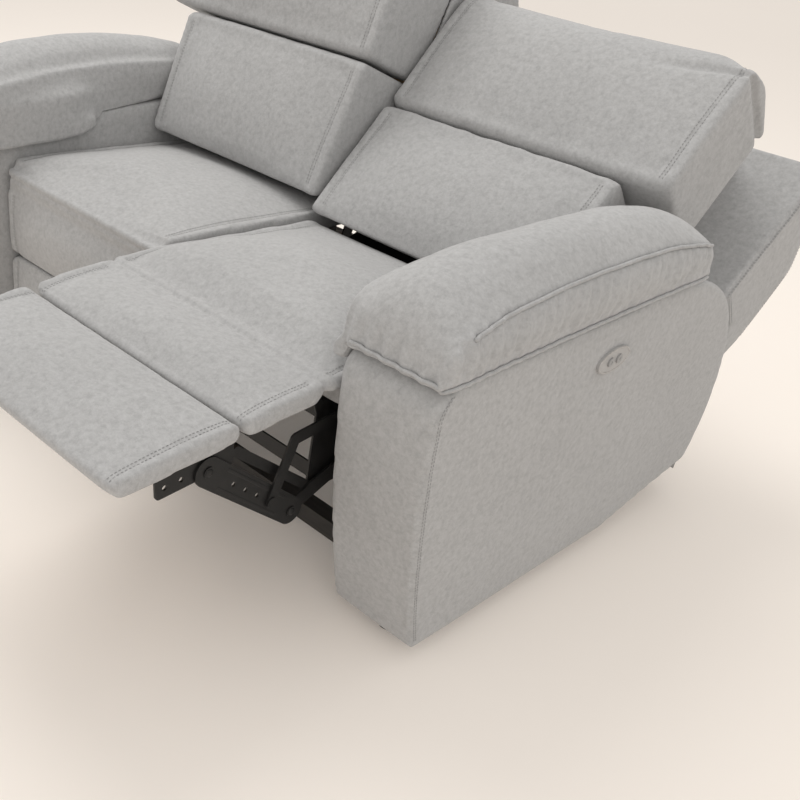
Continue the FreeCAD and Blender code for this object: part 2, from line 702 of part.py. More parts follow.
def control_plate(side):
    """An oval plate on the outer side of an arm."""
    face = DIM["overall_width"] / 2
    ellipse = Part.Ellipse(Vector(), DIM["plate_length"] / 2, DIM["plate_height"] / 2)
    disk = Part.Face(Part.Wire(ellipse.toShape()))
    start = face if side > 0 else -face - DIM["plate_thickness"]
    disk.Placement = Placement(
        Vector(start, DIM["plate_place"], DIM["plate_level"]),
        Rotation(Vector(0, 1, 0), Vector(0, 0, 1), Vector(1, 0, 0), "XYZ"),
    )
    return shaped(disk.extrude(Vector(DIM["plate_thickness"], 0, 0)))


def arm_pad(side):
    """The plump pad on an arm: sections across the arm, lofted from front to rear."""
    outer = DIM["overall_width"] / 2 + DIM["pad_overhang"]
    inner = DIM["overall_width"] / 2 - DIM["arm_width"] + DIM["pad_inset"]
    base = DIM["arm_top"] + DIM["pad_gap"]
    middle = (outer + inner) / 2
    half = (outer - inner) / 2
    length = DIM["pad_rear"] + DIM["pad_front"]
    wires = []
    for share, width, height, crown, overlap in PAD_SECTIONS:
        near = middle - half * width - DIM["pad_overlap"] * overlap
        far = middle + half * width
        top = base + DIM["pad_height"] * height
        corners = [(near, base), (far, base), (far, top), (near, top)]
        swell = DIM["pad_crown"] * crown
        depth = -DIM["pad_front"] + share * length
        place = lambda point, depth=depth: Vector(side * point.x, depth, point.y)
        bulges = (0, DIM["pad_bow"], swell, DIM["pad_bow"])
        wires.append(rounded_wire(corners, bulges, DIM["pad_round"] * height, place))
    return Part.makeLoft(wires, True, False)


def arm_roll(side):
    """The part of the pad that hangs over the arm's inner side, lofted from front to rear."""
    far = DIM["overall_width"] / 2 - DIM["arm_width"] - DIM["pad_gap"]
    near = far - DIM["roll_width"]
    top = DIM["arm_top"]
    length = DIM["roll_rear"] + DIM["roll_front"]
    wires = []
    for share, drop in ROLL_SECTIONS:
        low = top - DIM["roll_drop"] * drop
        corners = [(near, low), (far, low), (far, top), (near, top)]
        depth = -DIM["roll_front"] + share * length
        place = lambda point, depth=depth: Vector(side * point.x, depth, point.y)
        wires.append(rounded_wire(corners, (0, 0, 0, 0), DIM["roll_round"], place))
    return Part.makeLoft(wires, True, False)


ROLL_SECTIONS = (
    (0.0, 0.55),
    (0.1, 0.85),
    (0.25, 1.0),
    (0.5, 1.0),
    (0.75, 1.0),
    (0.9, 0.85),
    (1.0, 0.5),
)
PAD_SECTIONS = (
    (0.0, 0.86, 0.45, 0.2, 0.5),
    (0.03, 0.97, 0.78, 0.6, 0.85),
    (0.12, 1.0, 1.0, 1.0, 1.0),
    (0.2, 1.0, 1.08, 1.05, 0.94),
    (0.28, 1.0, 1.14, 1.1, 0.7),
    (0.36, 1.0, 1.16, 1.1, 0.3),
    (0.43, 1.0, 1.17, 1.1, 0.06),
    (0.5, 1.0, 1.17, 1.08, 0.0),
    (0.57, 1.0, 1.16, 1.05, 0.0),
    (0.65, 1.0, 1.14, 1.0, 0.0),
    (0.78, 1.0, 1.06, 0.88, 0.0),
    (0.9, 1.0, 0.93, 0.7, 0.0),
    (1.0, 0.9, 0.6, 0.3, 0.0),
)


def build_base():
    """Wooden rails between the arms, the middle beam, the feet and the rear skirt."""
    half = dim.overall_width / 2 - dim.arm_width - dim.layer_gap / 2
    levels = (dim.rail_bottom, dim.rail_bottom + dim.rail_height)
    front_end = dim.front_rail_depth + dim.rail_thickness
    node("base_front_rail", ORIGIN, box((-half, half), (dim.front_rail_depth, front_end), levels))
    rear_end = dim.rear_rail_depth + dim.rail_thickness
    node("base_rear_rail", ORIGIN, box((-half, half), (dim.rear_rail_depth, rear_end), levels))
    beam_half = dim.rail_thickness / 2
    beam = box((-beam_half, beam_half), (front_end, dim.rear_rail_depth), levels)
    node("base_middle_beam", ORIGIN, beam)
    feet = [rod("z", dim.foot_radius, (0, dim.middle_foot_depth, 0), dim.rail_bottom)]
    for across in (-1, 1):
        place = across * (dim.overall_width / 2 - dim.arm_width / 2)
        for depth in (dim.front_foot_depth, dim.rear_foot_depth):
            feet.append(rod("z", dim.foot_radius, (place, depth, 0), dim.floor_gap))
    node("feet", ORIGIN, *feet)
    near = dim.middle_gap / 2
    far = dim.overall_width / 2 - dim.skirt_inset
    depths = (rear_end + dim.layer_gap / 2, rear_end + dim.layer_gap / 2 + dim.skirt_thickness)
    heights = (dim.rail_bottom, dim.skirt_top)
    node("rear_skirts", ORIGIN, box((near, far), depths, heights), box((-far, -near), depths, heights))


def build_tracks():
    """Two steel tracks on the base rails under each seat."""
    levels = (dim.rail_bottom + dim.rail_height, dim.rail_bottom + dim.rail_height + dim.track_height)
    outer = PLATE_PLANE + dim.steel
    inner = outer - dim.track_width
    lengths = (dim.front_rail_depth, dim.rear_rail_depth + dim.rail_thickness)
    middle = (dim.overall_width / 2 - dim.arm_width - dim.side_gap + dim.middle_gap / 2) / 2
    tracks = []
    for seat_middle in (middle, -middle):
        tracks.append(box((seat_middle + inner, seat_middle + outer), lengths, levels))
        tracks.append(box((seat_middle - outer, seat_middle - inner), lengths, levels))
    node("base_tracks", ORIGIN, *tracks)


# One seat and its mechanism.

def build_seat_frame(seat):
    """Mechanism plates with their runners, cross rails, springs, deck cloth and cushion."""
    runner_base = dim.rail_bottom + dim.rail_height + dim.track_height + dim.runner_gap
    runner_top = runner_base + dim.runner_height
    outer = PLATE_PLANE + dim.steel
    inner = outer - dim.track_width
    runner_range = (dim.runner_front, dim.runner_front + dim.runner_length)
    runner = box((inner, outer), runner_range, (runner_base, runner_top))
    top = dim.seat_bottom - dim.layer_gap
    side_view = [
        (dim.lobe_front, runner_top, None),
        (dim.lobe_rear, runner_top, None),
        (dim.lobe_rear, dim.waist_level, None),
        (dim.seat_rear, dim.plate_band_level, None),
        (dim.seat_rear, top, None),
        (dim.plate_front, top, None),
        (dim.plate_front, dim.toe_level, None),
        (dim.toe_rear, dim.toe_level, None),
        (dim.arch_front, dim.waist_level, None),
        (dim.lobe_front, dim.waist_level, None),
    ]
    steel = DIM["steel"]
    face = layer_face(0)
    ear_foot = (DIM["plate_front"] + DIM["ear_radius"], DIM["seat_bottom"] - 2 * DIM["ear_radius"])
    ear = shaped(strap([ear_foot, HINGE], DIM["ear_radius"], 0))
    head = DIM["head_radius"]
    outer_end = layer_face(4) + steel + DIM["layer_gap"] / 2
    shank = shaped(disc(*CURVE_PIVOT, DIM["rivet_radius"], face, outer_end - face))
    collar = shaped(disc(*CURVE_PIVOT, head, face, layer_face(4) - DIM["layer_gap"] / 2 - face))
    stop = shaped(disc(*CURVE_PIVOT, head, outer_end, steel / 2))
    sheet_metal = outline(side_view, (PLATE_PLANE, outer))
    metal = fuse(sheet_metal, runner, ear, shaped(rivet(HINGE, 0, 1)), shank, collar, stop)
    play = DIM["running_clearance"]
    lift_bore = disc(*LIFT, DIM["torque_radius"] + play, face - steel, 3 * steel)
    back_bore = disc(*BACK_PIVOT, DIM["hinge_pin_radius"] + play, face - steel, 3 * steel)
    plate = cut(metal, shaped(lift_bore), shaped(back_bore))
    node(f"{seat.name}_mechanism_plates", seat.frame, plate, mirrored(plate))
    reach = PLATE_PLANE - dim.layer_gap / 2
    across = (-reach, reach)
    rail_top = dim.seat_bottom - dim.rail_inset / 2
    upper = (rail_top - dim.cross_rail, rail_top)
    front = dim.plate_front + dim.rail_inset
    rear = dim.seat_rear - dim.rail_inset
    low = dim.lower_rail_level
    cross_tube = (dim.motor_pivot_depth, dim.motor_pivot_level)
    angle = fuse(
        box(across, (dim.lower_rail_depth, dim.lower_rail_depth + dim.steel), (low, low + dim.cross_rail)),
        box(across, (dim.lower_rail_depth, dim.lower_rail_depth + dim.cross_rail), (low, low + dim.steel)),
    )
    rails = [
        box(across, (front, front + dim.cross_rail), upper),
        box(across, (rear - dim.cross_rail, rear), upper),
        angle,
        rod("x", dim.cross_tube_radius, (-reach, *cross_tube), reach + reach),
    ]
    node(f"{seat.name}_seat_cross_rails", seat.frame, *rails)
    node(f"{seat.name}_seat_springs", seat.frame, shaped(springs()))
    cloth_levels = (dim.cloth_level, dim.cloth_level + dim.cloth_thickness)
    cloth_inset = dim.cross_rail + dim.layer_gap / 2
    cloth = box(across, (front + cloth_inset, rear - cloth_inset), cloth_levels)
    node(f"{seat.name}_deck_cloth", seat.frame, cloth)
    node(f"{seat.name}_seat_cushion", seat.frame, shaped(seat_cushion()))


def mirrored(item):
    """The same solid on the other side of the seat's middle."""
    twin = doc.addObject("Part::Mirroring", "twin")
    twin.Source = item
    twin.Normal = Vector(1, 0, 0)
    return twin


def springs():
    """Zigzag springs between the front and rear cross rails."""
    wire = DIM["spring_wire"]
    level = DIM["seat_bottom"] - DIM["rail_inset"] / 2 + DIM["seat_fit"]
    start = DIM["plate_front"] + DIM["rail_inset"]
    pitch = DIM["spring_pitch"]
    count = int((DIM["seat_rear"] - DIM["rail_inset"] - start) / pitch)
    half = DIM["spring_width"] / 2
    spacing = (float(PLATE_PLANE) - half - DIM["spring_margin"]) / 2
    solids = []
    for place in (-2, -1, 0, 1, 2):
        middle = place * spacing
        bars = []
        for step in range(count):
            depth = start + step * pitch
            bars.append(Part.makeBox(2 * half, wire, wire, Vector(middle - half, depth, level)))
            side = half - wire if step % 2 else -half
            if step < count - 1:
                bars.append(Part.makeBox(wire, pitch + wire, wire, Vector(middle + side, depth, level)))
        solids.append(bars[0].multiFuse(bars[1:]).removeSplitter())
    return Part.makeCompound(solids)


def seat_cushion():
    """The seat cushion with its nose over the front pad."""
    nose = -DIM["seat_nose"]
    step = HINGE[0] + DIM["nose_step"]
    under = HINGE[1] + DIM["nose_rise"]
    rear = DIM["seat_rear"]
    corners = [
        (step, DIM["seat_bottom"]),
        (rear, DIM["seat_bottom"]),
        (rear, DIM["seat_edge"] - DIM["seat_rear_drop"]),
        (nose, DIM["seat_edge"]),
        (nose, under),
        (step, under),
    ]
    bulges = (0, 0, DIM["seat_crown"], DIM["slight_bow"], 0, 0)
    return cushion(CUSHION_HALF, corners, bulges, DIM["seat_corner"], DIM["draw_in"])


def build_footrest(seat):
    """Front pad, footrest pad, their board and the two bars with hanging flanges."""
    pads = {
        "front_pad": (DIM["crease_gap"] - DIM["crease_depth"], HINGE[0] - DIM["pad_rear_gap"]),
        "footrest_pad": (-DIM["footrest_front"], -DIM["crease_depth"]),
    }
    for part, (front, rear) in pads.items():
        corners = [
            (front, DIM["pad_underside"]),
            (rear, DIM["pad_underside"]),
            (rear, DIM["pad_edge"]),
            (front, DIM["pad_edge"]),
        ]
        bulges = (0, DIM["slight_bow"] / 2, DIM["footrest_crown"], DIM["slight_bow"])
        pad = cushion(CUSHION_HALF, corners, bulges, DIM["pad_corner"], DIM["draw_in"])
        node(f"{seat.name}_{part}", seat.footrest, shaped(pad))
    top = dim.pad_underside - dim.board_top_gap
    rear_end = -dim.footrest_pivot_depth - dim.board_rear_gap
    front_end = dim.board_front_gap - dim.footrest_front
    across = (-BOARD_SPAN, BOARD_SPAN)
    board = box(across, (front_end, rear_end), (top - dim.board_thickness, top))
    node(f"{seat.name}_footrest_board", seat.footrest, board)
    node(f"{seat.name}_footrest_brackets", seat.footrest, shaped(both_sides(footrest_bracket())))


def footrest_bracket():
    """A bar along the board's edge from the hinge, with a hanging flange and its three holes."""
    level = HINGE[1] - DIM["bar_drop"]
    bar_points = [HINGE, (HINGE[0] - DIM["bar_start"], level), (HINGE[0] - DIM["bar_length"], level)]
    bar = strap(bar_points, DIM["bar_half"], 1, [HINGE], DIM["rivet_radius"] + DIM["running_clearance"])
    steel = DIM["steel"]
    top = level + DIM["bar_half"]
    bottom = HINGE[1] - DIM["flange_depth"]
    rear = HINGE[0] - DIM["flange_rear"]
    front = HINGE[0] - DIM["flange_front"]
    flange = Part.makeBox(steel, rear - front, top - bottom, Vector(layer_face(2), front, bottom))
    lower_corners = [edge for edge in flange.Edges if is_lower_corner(edge, bottom)]
    flange = flange.makeFillet(DIM["bar_half"], lower_corners)
    step = layer_face(2) - layer_face(1)
    shelf_corner = Vector(layer_face(1) + steel / 2, front, level)
    shelf = Part.makeBox(step, rear - front, DIM["bar_half"], shelf_corner)
    shelf = shelf.fuse(ledge(rear, front, level))
    bracket = bar.fuse([flange, shelf])
    hole_level = bottom + DIM["flange_depth"] * FLANGE_HOLE_LEVEL
    for place in FLANGE_HOLES:
        depth = BRACKET_FLAT[0] + (front - BRACKET_FLAT[0]) * place
        hole = disc(depth, hole_level, DIM["flange_hole"], layer_face(2) - steel, 3 * steel)
        bracket = bracket.cut(hole)
    return bracket.removeSplitter()


FLANGE_HOLES = (0.18, 0.5, 0.82)
FLANGE_HOLE_LEVEL = 0.28
WIDE_LINK_HOLES = (0.3, 0.44, 0.58, 0.72)


def ledge(rear, front, level):
    """The flange's fold under the board."""
    inner = float(BOARD_SPAN) - 3 * DIM["bar_half"]
    top = DIM["pad_underside"] - DIM["board_top_gap"] - DIM["board_thickness"] - DIM["seat_fit"]
    low = level - DIM["bar_half"]
    width = layer_face(1) + DIM["steel"] - inner
    return Part.makeBox(width, rear - front, top - low, Vector(inner, front, low))


def is_lower_corner(edge, bottom):
    """Whether an edge is one of the two lower corners of a flat plate."""
    ends = [vertex.Point for vertex in edge.Vertexes]
    low = all(abs(end.z - bottom) < 0.01 for end in ends)
    return low and abs(ends[0].x - ends[1].x) > 1


def build_links(seat):
    """The four links of each side, and the torque tube with its lever."""
    pin = DIM["rivet_radius"]
    free = pin + DIM["running_clearance"]
    lift = strap([LIFT, KNEE], DIM["link_half"], 2)
    knee_rivet = rivet(KNEE, 2, 3)
    slim_arm = strap([LIFT, SLIM_PIVOT], DIM["link_half"], 2)
    slim_rivet = inner_rivet(SLIM_PIVOT, 2, 1)
    sides = both_sides(lift.fuse([knee_rivet, slim_arm, slim_rivet]))
    reach = layer_face(2)
    lever_outer = DIM["lever_inner"] + DIM["steel"]
    long_tube = disc(*LIFT, DIM["torque_radius"], -reach, reach + DIM["lever_inner"])
    short_tube = disc(*LIFT, DIM["torque_radius"], lever_outer, reach - lever_outer)
    inward = Vector(DIM["lever_inner"] - layer_face(0), 0, 0)
    lever = strap([LIFT, LEVER_END], DIM["link_half"], 0).translated(inward)
    solids = [long_tube, short_tube, lever, *sides.Solids]
    node(f"{seat.name}_lift_links", seat.lift, shaped(Part.makeCompound(solids)))
    wide = strap([KNEE, BRACKET], DIM["wide_half"], 3, [KNEE], free)
    for share in WIDE_LINK_HOLES:
        hole = along_line(KNEE, BRACKET, share)
        wide = wide.cut(disc(*hole, DIM["flange_hole"], layer_face(3) - DIM["steel"], 3 * DIM["steel"]))
    wide = wide.fuse(outer_head(BRACKET, 3))
    node(f"{seat.name}_wide_links", seat.wide, shaped(both_sides(wide)))
    slim = strap([SLIM_PIVOT, SLIM_END], DIM["slim_half"], 1, [SLIM_PIVOT], free)
    node(f"{seat.name}_slim_links", seat.slim, shaped(both_sides(slim)))
    bend = (DIM["curve_bend_depth"], DIM["curve_bend_level"])
    curved = strap([CURVE_PIVOT, bend, CURVE_END], DIM["curved_half"], 4, [CURVE_PIVOT], free)
    curved = curved.fuse(outer_head(CURVE_END, 4))
    node(f"{seat.name}_curved_links", seat.curved, shaped(both_sides(curved)))


def outer_head(point, layer):
    """A rivet head on a link's outer face."""
    face = layer_face(layer) + DIM["steel"]
    return disc(*point, DIM["head_radius"], face, DIM["steel"] / 2)


def inner_rivet(point, first_layer, last_layer):
    """A rivet that reaches inward from one layer through the next."""
    outer = layer_face(first_layer) + DIM["steel"] / 2
    inner = layer_face(last_layer) - DIM["layer_gap"] / 2
    shank = disc(*point, DIM["rivet_radius"], inner, outer - inner)
    return shank


def build_actuator(seat):
    """The linear actuator: tube with motor, and its rod."""
    depth, level = MOTOR_PIVOT
    front = depth - DIM["housing_length"]
    play = DIM["running_clearance"]
    barrel_length = DIM["housing_length"] - DIM["cross_tube_radius"]
    barrel = tube_along(front, level, DIM["housing_radius"], barrel_length)
    ring = disc(depth, level, DIM["motor_ring"], -DIM["ring_half"], 2 * DIM["ring_half"])
    motor_start = depth - DIM["bore_end"] - DIM["motor_length"]
    motor = tube_along(motor_start, level - DIM["motor_drop"], DIM["motor_radius"], DIM["motor_length"])
    reach = DIM["motor_radius"]
    eye = disc(depth, level, DIM["cross_tube_radius"] + play, -reach, 2 * reach)
    bore = tube_along(front, level, DIM["piston_radius"] + play, DIM["housing_length"] - DIM["bore_end"])
    housing = barrel.fuse([ring, motor]).cut(Part.makeCompound([eye, bore])).removeSplitter()
    node(f"{seat.name}_actuator_housing", seat.motor, shaped(housing))
    tip = depth - apart(LEVER_END, MOTOR_PIVOT)
    stem = tube_along(tip, level, DIM["piston_radius"], DIM["piston_length"])
    end = disc(tip, level, DIM["eye_radius"], -DIM["eye_half"], 2 * DIM["eye_half"])
    node(f"{seat.name}_actuator_rod", seat.piston, shaped(stem.fuse(end).removeSplitter()))


def tube_along(front, level, radius, length):
    """A round bar along Y in the middle of the seat."""
    return Part.makeCylinder(radius, length, Vector(0, front, level), Vector(0, 1, 0))


def build_back(seat):
    """Back brackets, frame, outer shell, wing and the two back cushions."""
    lean = Placement(Vector(0, *BACK_CORNER), Rotation(Vector(1, 0, 0), -DIM["back_lean"]))
    post_middle = DIM["back_thickness"] + DIM["post_depth"] / 2
    post_foot = lean.multVec(Vector(0, post_middle, DIM["frame_foot"]))
    post_top = lean.multVec(Vector(0, post_middle, DIM["frame_foot"] + DIM["leg_overlap"]))
    heel = (DIM["leg_heel_depth"], DIM["leg_heel_level"])
    leg_points = [BACK_PIVOT, heel, (post_foot.y, post_foot.z), (post_top.y, post_top.z)]
    leg = strap(leg_points, DIM["leg_half"], -1)
    pin_start = layer_face(-1)
    pin_end = layer_face(0) + DIM["steel"] + DIM["layer_gap"] / 2
    pin = disc(*BACK_PIVOT, DIM["hinge_pin_radius"], pin_start, pin_end - pin_start)
    node(f"{seat.name}_back_brackets", seat.back, shaped(both_sides(leg.fuse(pin))))
    half = layer_face(-1) - DIM["layer_gap"]
    front = DIM["back_thickness"] + DIM["seat_fit"] * 2
    foot = DIM["frame_foot"]
    node(f"{seat.name}_back_frame", seat.upholstery, *back_frame(half, front, foot))
    node(f"{seat.name}_outer_back", seat.upholstery, outer_back())
    wing_range = (SEAT_HALF + DIM["seat_fit"], SEAT_HALF + DIM["wing_width"])
    if seat.side < 0:
        wing_range = (-wing_range[1], -wing_range[0])
    node(f"{seat.name}_back_wing", seat.upholstery, outline(wing_outline(), wing_range))
    node(f"{seat.name}_lumbar_cushion", seat.upholstery, shaped(lumbar_cushion()))
    head = head_cushion().translated(Vector(seat.side * DIM["head_reach"] / 2, 0, 0))
    node(f"{seat.name}_head_cushion", seat.upholstery, shaped(head))


def back_frame(half, front, foot):
    """Four slats of wood behind the back cushions, nailed across four posts."""
    slat_rear = front + DIM["slat_depth"]
    rear = front + DIM["post_depth"]
    top = DIM["shell_height"] - DIM["shell_wall"] - DIM["frame_top_gap"]
    width = DIM["post_width"]
    wide = SEAT_HALF - DIM["shell_wall"] - DIM["seat_fit"]
    slat = DIM["slat_height"]
    spread = (2 * half - width) / 3
    bars = []
    for place in (0, 1, 2, 3):
        start = spread * place - half
        bars.append(box((start, start + width), (slat_rear, rear), (foot, top)))
    step = (top - slat - foot) / 3
    for place in (0, 1, 2, 3):
        level = foot + step * place
        reach = half if place == 0 else wide
        bars.append(box((-reach, reach), (front, slat_rear), (level, level + slat)))
    return bars


def outer_back():
    """A shell open to the front and below: rear, top and side panels."""
    front = dim.back_thickness + dim.seat_fit + dim.seat_fit
    wall = dim.shell_wall
    rear = dim.back_thickness + dim.shell_depth
    outside = [
        (front, dim.shell_foot, None),
        (rear - dim.shell_taper, dim.shell_rear_foot, None),
        (rear, dim.shell_rear_foot + dim.shell_taper, None),
        (rear, dim.shell_shoulder, None),
        (rear - dim.shell_slope, dim.shell_height, None),
        (front, dim.shell_height, None),
    ]
    inside = [
        (front - wall, dim.shell_foot - dim.shell_slope, None),
        (rear - dim.shell_taper - wall, dim.shell_rear_foot - dim.shell_slope, None),
        (rear - wall, dim.shell_rear_foot + dim.shell_taper, None),
        (rear - wall, dim.shell_shoulder - wall, None),
        (rear - dim.shell_slope - wall, dim.shell_height - wall, None),
        (front - wall, dim.shell_height - wall, None),
    ]
    half = SEAT_HALF
    inner = half - DIM["shell_wall"]
    return cut(outline(outside, (-half, half)), outline(inside, (-inner, inner)))


def wing_outline():
    """The side view of the wing behind an arm, in the upright back's own lines."""
    rear = dim.back_thickness + dim.wing_reach
    return [
        (dim.wing_front, dim.wing_foot, None),
        (dim.wing_front + dim.wing_step, dim.wing_foot - dim.seat_fit, None),
        (rear - dim.wing_tail, dim.wing_foot - dim.wing_drop, None),
        (rear, dim.wing_foot + dim.wing_tail, dim.wing_radius),
        (rear, dim.shell_shoulder, None),
        (rear - dim.wing_slope, dim.wing_top - dim.wing_tail, None),
        (dim.wing_front + dim.wing_tail, dim.wing_top, None),
        (dim.wing_front + dim.wing_lean, dim.wing_top - dim.wing_slope - dim.wing_tail, None),
    ]


def lumbar_cushion():
    """The lower back cushion, bulging forward, with a lip over the seat."""
    rear = DIM["back_thickness"]
    corners = [
        (0, -DIM["lumbar_lip"]),
        (rear, DIM["lumbar_rise"]),
        (rear, DIM["lumbar_height"]),
        (DIM["crease_inset"], DIM["lumbar_height"]),
    ]
    bulges = (DIM["crease_inset"], 0, 0, DIM["back_crown"])
    return cushion(CUSHION_HALF, corners, bulges, DIM["back_corner"], DIM["draw_in"])


def head_cushion():
    """The upper back cushion, rounded over the top."""
    rear = DIM["back_thickness"]
    foot = DIM["lumbar_height"] + DIM["crease_gap"]
    top = foot + DIM["head_height"]
    corners = [
        (DIM["crease_inset"], foot),
        (rear, foot),
        (rear, top - DIM["head_round"] / 2),
        (DIM["head_round"] + DIM["back_corner"], top),
        (DIM["crease_inset"], top - DIM["head_round"]),
    ]
    bulges = (0, 0, DIM["crease_inset"], DIM["crease_inset"], DIM["back_crown"])
    half = CUSHION_HALF + DIM["head_reach"] / 2
    return cushion(half, corners, bulges, DIM["back_corner"], DIM["draw_in"])


build_base()
build_tracks()
SEATS = [Seat("right", 1, False), Seat("left", -1, True)]
for seat in SEATS:
    build_arm(seat.name, seat.side)
    build_seat_frame(seat)
    build_footrest(seat)
    build_links(seat)
    build_actuator(seat)
    build_back(seat)
doc.recompute()

for item in doc.Objects:
    if "Invalid" in item.State or "Error" in item.State:
        raise RuntimeError(f"{item.Name} ({item.Label}) failed: {item.State}")
for label, piece in NODES.items():
    if piece.Shape.isNull() or not piece.Shape.isValid() or not piece.Shape.Solids:
        raise RuntimeError(f"{label} has no valid solid")
    piece.Shape.exportStep(f"parts/{label}.step")


def rounded(vector):
    """A point in metres."""
    return [round(number / 1000, 6) for number in vector]


joints = {"swings_deg": {}, "slides_m": {}}
joints["swings_deg"] = {
    "footrest": DIM["footrest_swing"],
    "lift": LIFT_TURN,
    "wide": WIDE_TURN,
    "slim": SLIM_TURN,
    "curved": CURVE_TURN,
    "motor": MOTOR_TURN,
    "back": DIM["back_swing"],
}
joints["slides_m"] = {"seat": DIM["seat_slide"] / 1000, "piston": STROKE / 1000}
for seat in SEATS:
    along = seat.motor.Rotation.multVec(Vector(0, 1, 0))
    joints[seat.name] = {
        "footrest": rounded(seat.frame.multVec(Vector(0, *HINGE))),
        "lift": rounded(seat.frame.multVec(Vector(0, *LIFT))),
        "wide": rounded(seat.lift.multVec(Vector(0, *KNEE))),
        "slim": rounded(seat.lift.multVec(Vector(0, *SLIM_PIVOT))),
        "curved": rounded(seat.frame.multVec(Vector(0, *CURVE_PIVOT))),
        "motor": rounded(seat.frame.multVec(Vector(0, *MOTOR_PIVOT))),
        "back": rounded(seat.frame.multVec(Vector(0, *BACK_PIVOT))),
        "piston_axis": [round(number, 6) for number in along],
    }
print("JOINTS", json.dumps(joints))
print("NODES", len(NODES))
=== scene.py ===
import bmesh
import bpy
import json
import math
import numpy as np
from mathutils import Matrix, Vector, noise
from mathutils.bvhtree import BVHTree
from mathutils.kdtree import KDTree


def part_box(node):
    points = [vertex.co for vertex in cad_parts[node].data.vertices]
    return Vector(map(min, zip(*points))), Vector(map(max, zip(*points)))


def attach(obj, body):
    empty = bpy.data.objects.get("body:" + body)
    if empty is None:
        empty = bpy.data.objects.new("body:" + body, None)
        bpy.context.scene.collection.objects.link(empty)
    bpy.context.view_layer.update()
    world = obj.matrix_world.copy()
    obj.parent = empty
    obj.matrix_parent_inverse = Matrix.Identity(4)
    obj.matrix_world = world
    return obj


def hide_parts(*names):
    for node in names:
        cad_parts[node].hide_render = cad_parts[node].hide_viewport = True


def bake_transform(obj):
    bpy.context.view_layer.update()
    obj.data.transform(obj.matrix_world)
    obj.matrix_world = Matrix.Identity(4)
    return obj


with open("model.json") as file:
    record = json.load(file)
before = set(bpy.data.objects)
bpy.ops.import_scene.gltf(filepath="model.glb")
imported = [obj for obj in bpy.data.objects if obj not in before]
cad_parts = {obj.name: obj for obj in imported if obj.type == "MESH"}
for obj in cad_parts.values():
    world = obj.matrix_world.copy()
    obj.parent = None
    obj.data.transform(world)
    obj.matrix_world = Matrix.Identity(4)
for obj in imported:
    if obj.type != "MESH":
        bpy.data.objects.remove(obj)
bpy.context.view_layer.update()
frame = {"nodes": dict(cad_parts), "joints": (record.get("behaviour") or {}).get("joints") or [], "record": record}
nodes = frame["nodes"]
SIDES = ("right", "left")
SIGN = {"right": 1.0, "left": -1.0}
FOLDED = {"right": False, "left": True}


# Camera at the photograph's angle. Lengths are in metres and angles in radians.

CAMERA_PLACE = (1.4553, -1.5786, 1.2422)


def added(name, data):
    """A new object in the scene."""
    item = bpy.data.objects.new(name, data)
    bpy.context.scene.collection.objects.link(item)
    return item


camera_data = bpy.data.cameras.new("camera")
camera_data.sensor_width = 36.0
camera_data.lens = 44.415
camera_data.shift_x = 0.22288
camera_data.shift_y = 0.16849
camera_data.clip_end = 60.0
camera = added("camera", camera_data)
yaw, pitch, roll = 0.8093, 0.6588, 0.084
forward = Vector((-math.sin(yaw) * math.cos(pitch), math.cos(yaw) * math.cos(pitch), -math.sin(pitch)))
level_right = Vector((math.cos(yaw), math.sin(yaw), 0.0))
level_up = level_right.cross(forward)
right_axis = level_right * math.cos(roll) + level_up * math.sin(roll)
up_axis = level_up * math.cos(roll) - level_right * math.sin(roll)
turn = Matrix((right_axis, up_axis, -forward)).transposed()
camera.matrix_world = Matrix.Translation(CAMERA_PLACE) @ turn.to_4x4()
bpy.context.scene.camera = camera
bpy.context.scene.view_settings.view_transform = "Standard"


# Materials.

def only_when_seen(tree):
    """1 for rays from the camera and for mirrored or passed rays, 0 for rays that light things."""
    paths = tree.nodes.new("ShaderNodeLightPath")
    seen = paths.outputs["Is Camera Ray"]
    for kind in ("Is Glossy Ray", "Is Transmission Ray"):
        item = tree.nodes.new("ShaderNodeMath")
        item.operation = "MAXIMUM"
        tree.links.new(seen, item.inputs[0])
        tree.links.new(paths.outputs[kind], item.inputs[1])
        seen = item.outputs[0]
    return seen


